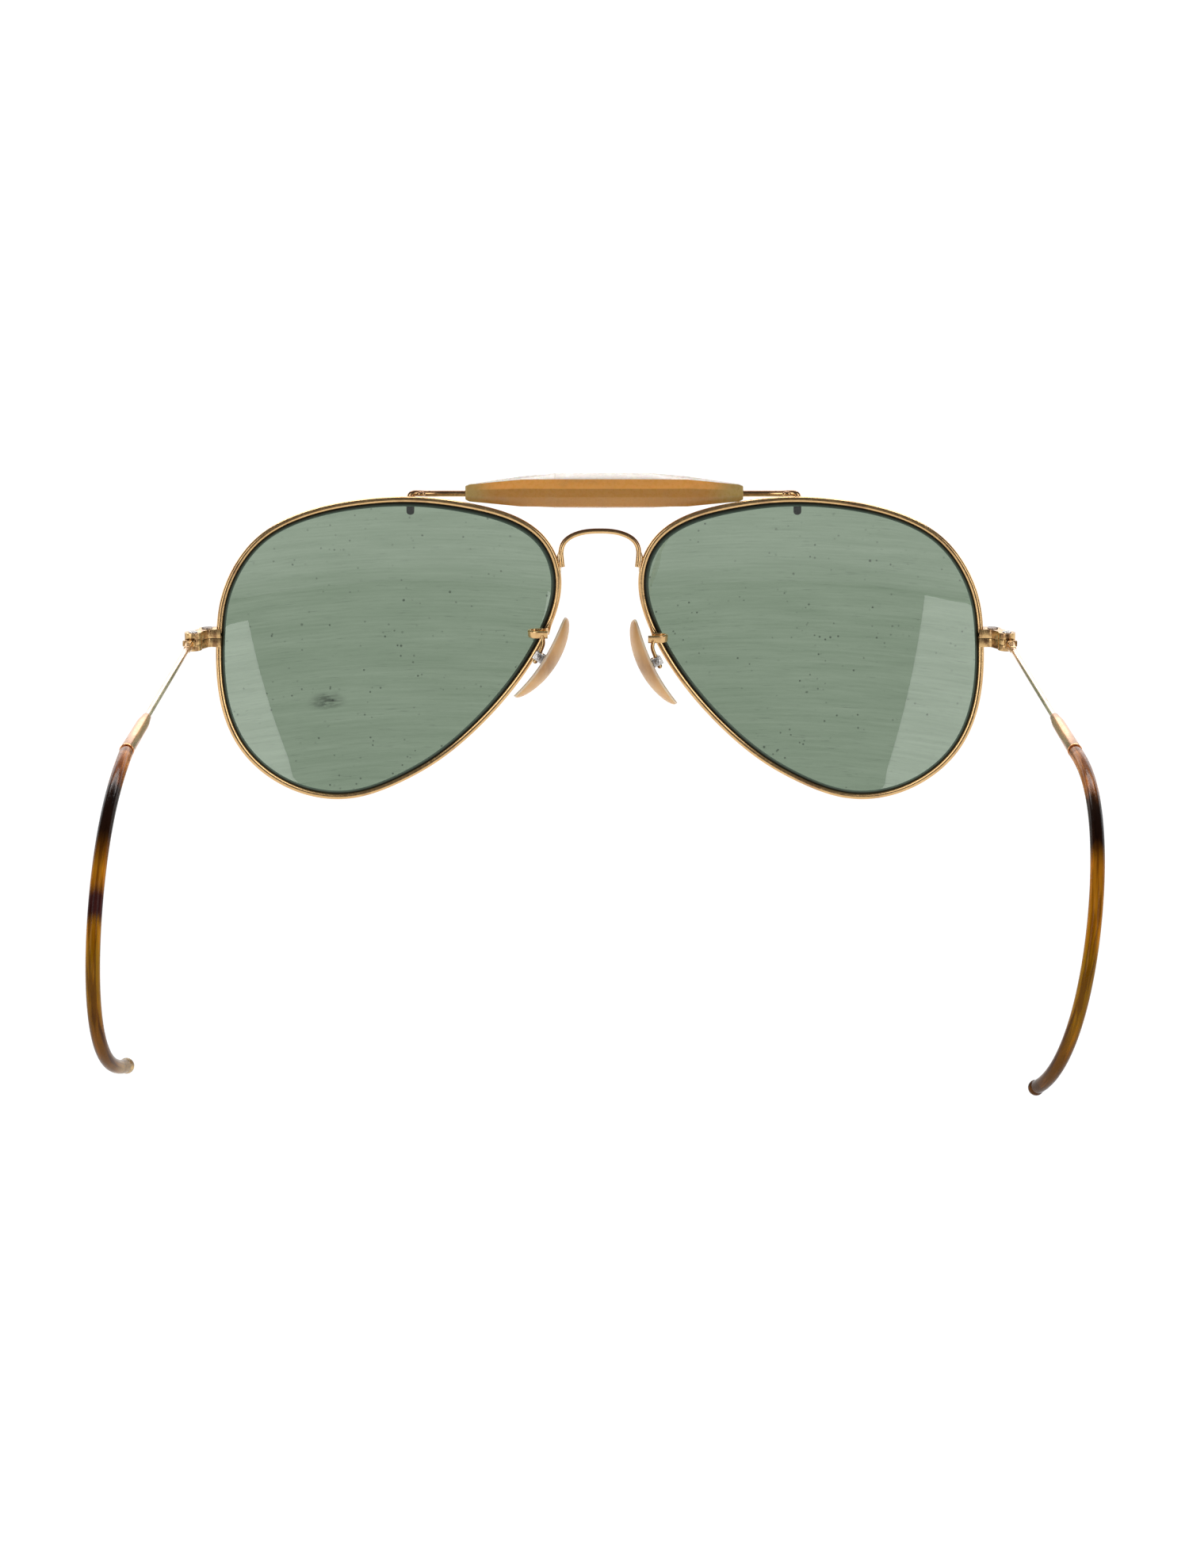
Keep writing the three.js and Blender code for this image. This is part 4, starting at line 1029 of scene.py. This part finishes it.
def pad_arm(side, mirror, shape):
    """A strip brazed to the rim and looped behind the lens, and a wire down to the cradle."""
    x, y, z = shape["pin"]
    root = rim_at(z + 3.4) + (-0.15, 0.3, 0)
    ribbon = smooth_curve([
        root, (root[0] + 0.05, -7.5, z + 3.5), (x - 0.6, -6.5, z + 3.6),
        (x + 0.9, -6.3, z + 3.6), (x + 1.7, -5.3, z + 3.6), (x + 0.9, -4.35, z + 3.6),
        (x - 0.3, -4.15, z + 3.6), (x - 1.5, -4.1, z + 3.6),
    ], 120)
    drop = smooth_curve([
        (x - 0.55, -4.1, z + 3.4), (x - 0.75, -3.75, z + 2.2), (x - 0.35, -3.45, z + 1.0),
        (x, y, z),
    ], 60)
    arm = draft(f"pad_strip_{side}", joined(
        strip(ribbon, PAD_ARM_HEIGHT, PAD_ARM_THICKNESS, (0, 0, 1)),
        tube(drop, PAD_DROP_RADIUS, 20, (0, 1, 0))))
    finish_piece(arm, mirrored(mirror), GOLD, "gold", "front", [f"pad_arm_{side}"], crease=50)
    eye_profile = [(0.6, -0.45), (0.75, -0.36), (0.75, 0.36), (0.6, 0.45)]
    eye = moved(lathe(eye_profile, 32), rotation("Y", 90))
    tail = blob((0, -0.05, -1.0), (0.42, 0.42, 0.5))
    loop = draft(f"pad_eye_{side}", joined(eye, tail))
    place = pad_frame(shape) @ Matrix.Translation((0, -PAD_PIN, 0))
    finish_piece(loop, mirrored(mirror) @ place, GOLD, "gold", "front", [], crease=40)
    fillet = smooth_curve([rim_at(z + height) + (-0.1, away, 0) for height, away in PAD_FILLET], 40)
    foot = draft(f"pad_joint_{side}", tube(fillet, np.linspace(0.62, 0.15, 40), 24, (0, 1, 0)))
    finish_piece(foot, mirrored(mirror), GOLD, "gold", "front", [], crease=60)


# ---- The glasses ---------------------------------------------------------------------------

bridge()
brow_wire()
brow_bar()
for side, shape in SIDES.items():
    for build in (rim, lens, end_pieces, upright_screws):
        build(side, shape["mirror"])
    for build in (temple, nose_pad, pad_cradle, pad_arm):
        build(side, shape["mirror"], shape)

# ---- Floor, light and camera ---------------------------------------------------------------


def floor():
    radius, thickness = 3.0, 0.002
    piece = draft("floor", lathe([(radius, -thickness), (radius, 0.0)], 96))
    made = Material("pale_floor", Roughness=0.9)
    back = made.add("SeparateXYZ", {"Vector": made.place}).outputs["Y"]
    fade = made.ramp(back, [(0.17, (1.0, 1.0, 1.0)), (0.7, (0.45, 0.45, 0.45))], smooth=True)
    made.shader.inputs["Base Color"].default_value = (0.14, 0.14, 0.14, 1)
    made.feed("Emission Color", fade)
    made.shader.inputs["Emission Strength"].default_value = 0.95
    piece.data.materials.append(made.material)


def area_light(name, place, target, size, power, roll=0.0):
    data = bpy.data.lights.new(name, "AREA")
    data.shape, data.energy = "RECTANGLE", power
    data.size, data.size_y = size
    lamp = bpy.data.objects.new(name, data)
    lamp.location = place
    facing = (Vector(target) - Vector(place)).to_track_quat("-Z", "Y").to_matrix().to_4x4()
    lamp.rotation_euler = (facing @ rotation("Z", roll)).to_euler()
    bpy.context.scene.collection.objects.link(lamp)


def studio():
    world = bpy.data.worlds.new("studio")
    world.use_nodes = True
    tree = world.node_tree
    background = tree.nodes["Background"]
    direction = tree.nodes.new("ShaderNodeSeparateXYZ")
    tree.links.new(tree.nodes.new("ShaderNodeTexCoord").outputs["Generated"], direction.inputs[0])
    reach = []
    for axis, near, far in (("Y", -0.1, -0.6), ("Z", 0.42, 0.05)):
        part = tree.nodes.new("ShaderNodeMapRange")
        part.interpolation_type = "SMOOTHSTEP"
        part.inputs["From Min"].default_value, part.inputs["From Max"].default_value = near, far
        tree.links.new(direction.outputs[axis], part.inputs["Value"])
        reach.append(part.outputs["Result"])
    both = tree.nodes.new("ShaderNodeMath")
    both.operation = "MULTIPLY"
    level = tree.nodes.new("ShaderNodeMath")
    level.operation = "MULTIPLY_ADD"
    level.inputs[1].default_value, level.inputs[2].default_value = SKY_FRONT, SKY_REST
    for socket, value in zip(both.inputs, reach):
        tree.links.new(value, socket)
    tree.links.new(both.outputs[0], level.inputs[0])
    tree.links.new(level.outputs[0], background.inputs["Strength"])
    background.inputs["Color"].default_value = (0.97, 0.98, 1.0, 1)
    bpy.context.scene.world = world
    area_light("front_top", (0, -0.79, 0.66), (0, 0, 0.04), (1.1, 0.22), 6.0)
    area_light("right_panel", (-0.711, 0.703, 0.66), (0, 0, 0.66), (0.45, 1.08), 3.7, 4.0)
    area_light("left_panel", (0.64, 0.77, 0.62), (0, 0, 0.62), (0.45, 1.16), 3.7, -2)


def camera():
    """The camera stands behind the glasses, a little above them and level across."""
    data = bpy.data.cameras.new("camera")
    data.sensor_width = SENSOR_WIDTH
    data.lens = FOCAL_LENGTH
    data.clip_start, data.clip_end = 0.01, 20
    data.dof.use_dof = False
    made = bpy.data.objects.new("camera", data)
    bpy.context.scene.collection.objects.link(made)
    made.location = GLASSES @ Vector(CAMERA_PLACE)
    down = math.radians(LOOK_DOWN)
    gaze = Vector((0, -math.cos(down), -math.sin(down)))
    direction = (GLASSES.to_3x3() @ gaze).normalized()
    made.rotation_euler = direction.to_track_quat("-Z", "Y").to_euler()
    bpy.context.scene.camera = made


floor()
studio()
camera()
bpy.context.scene.view_settings.view_transform = "Standard"
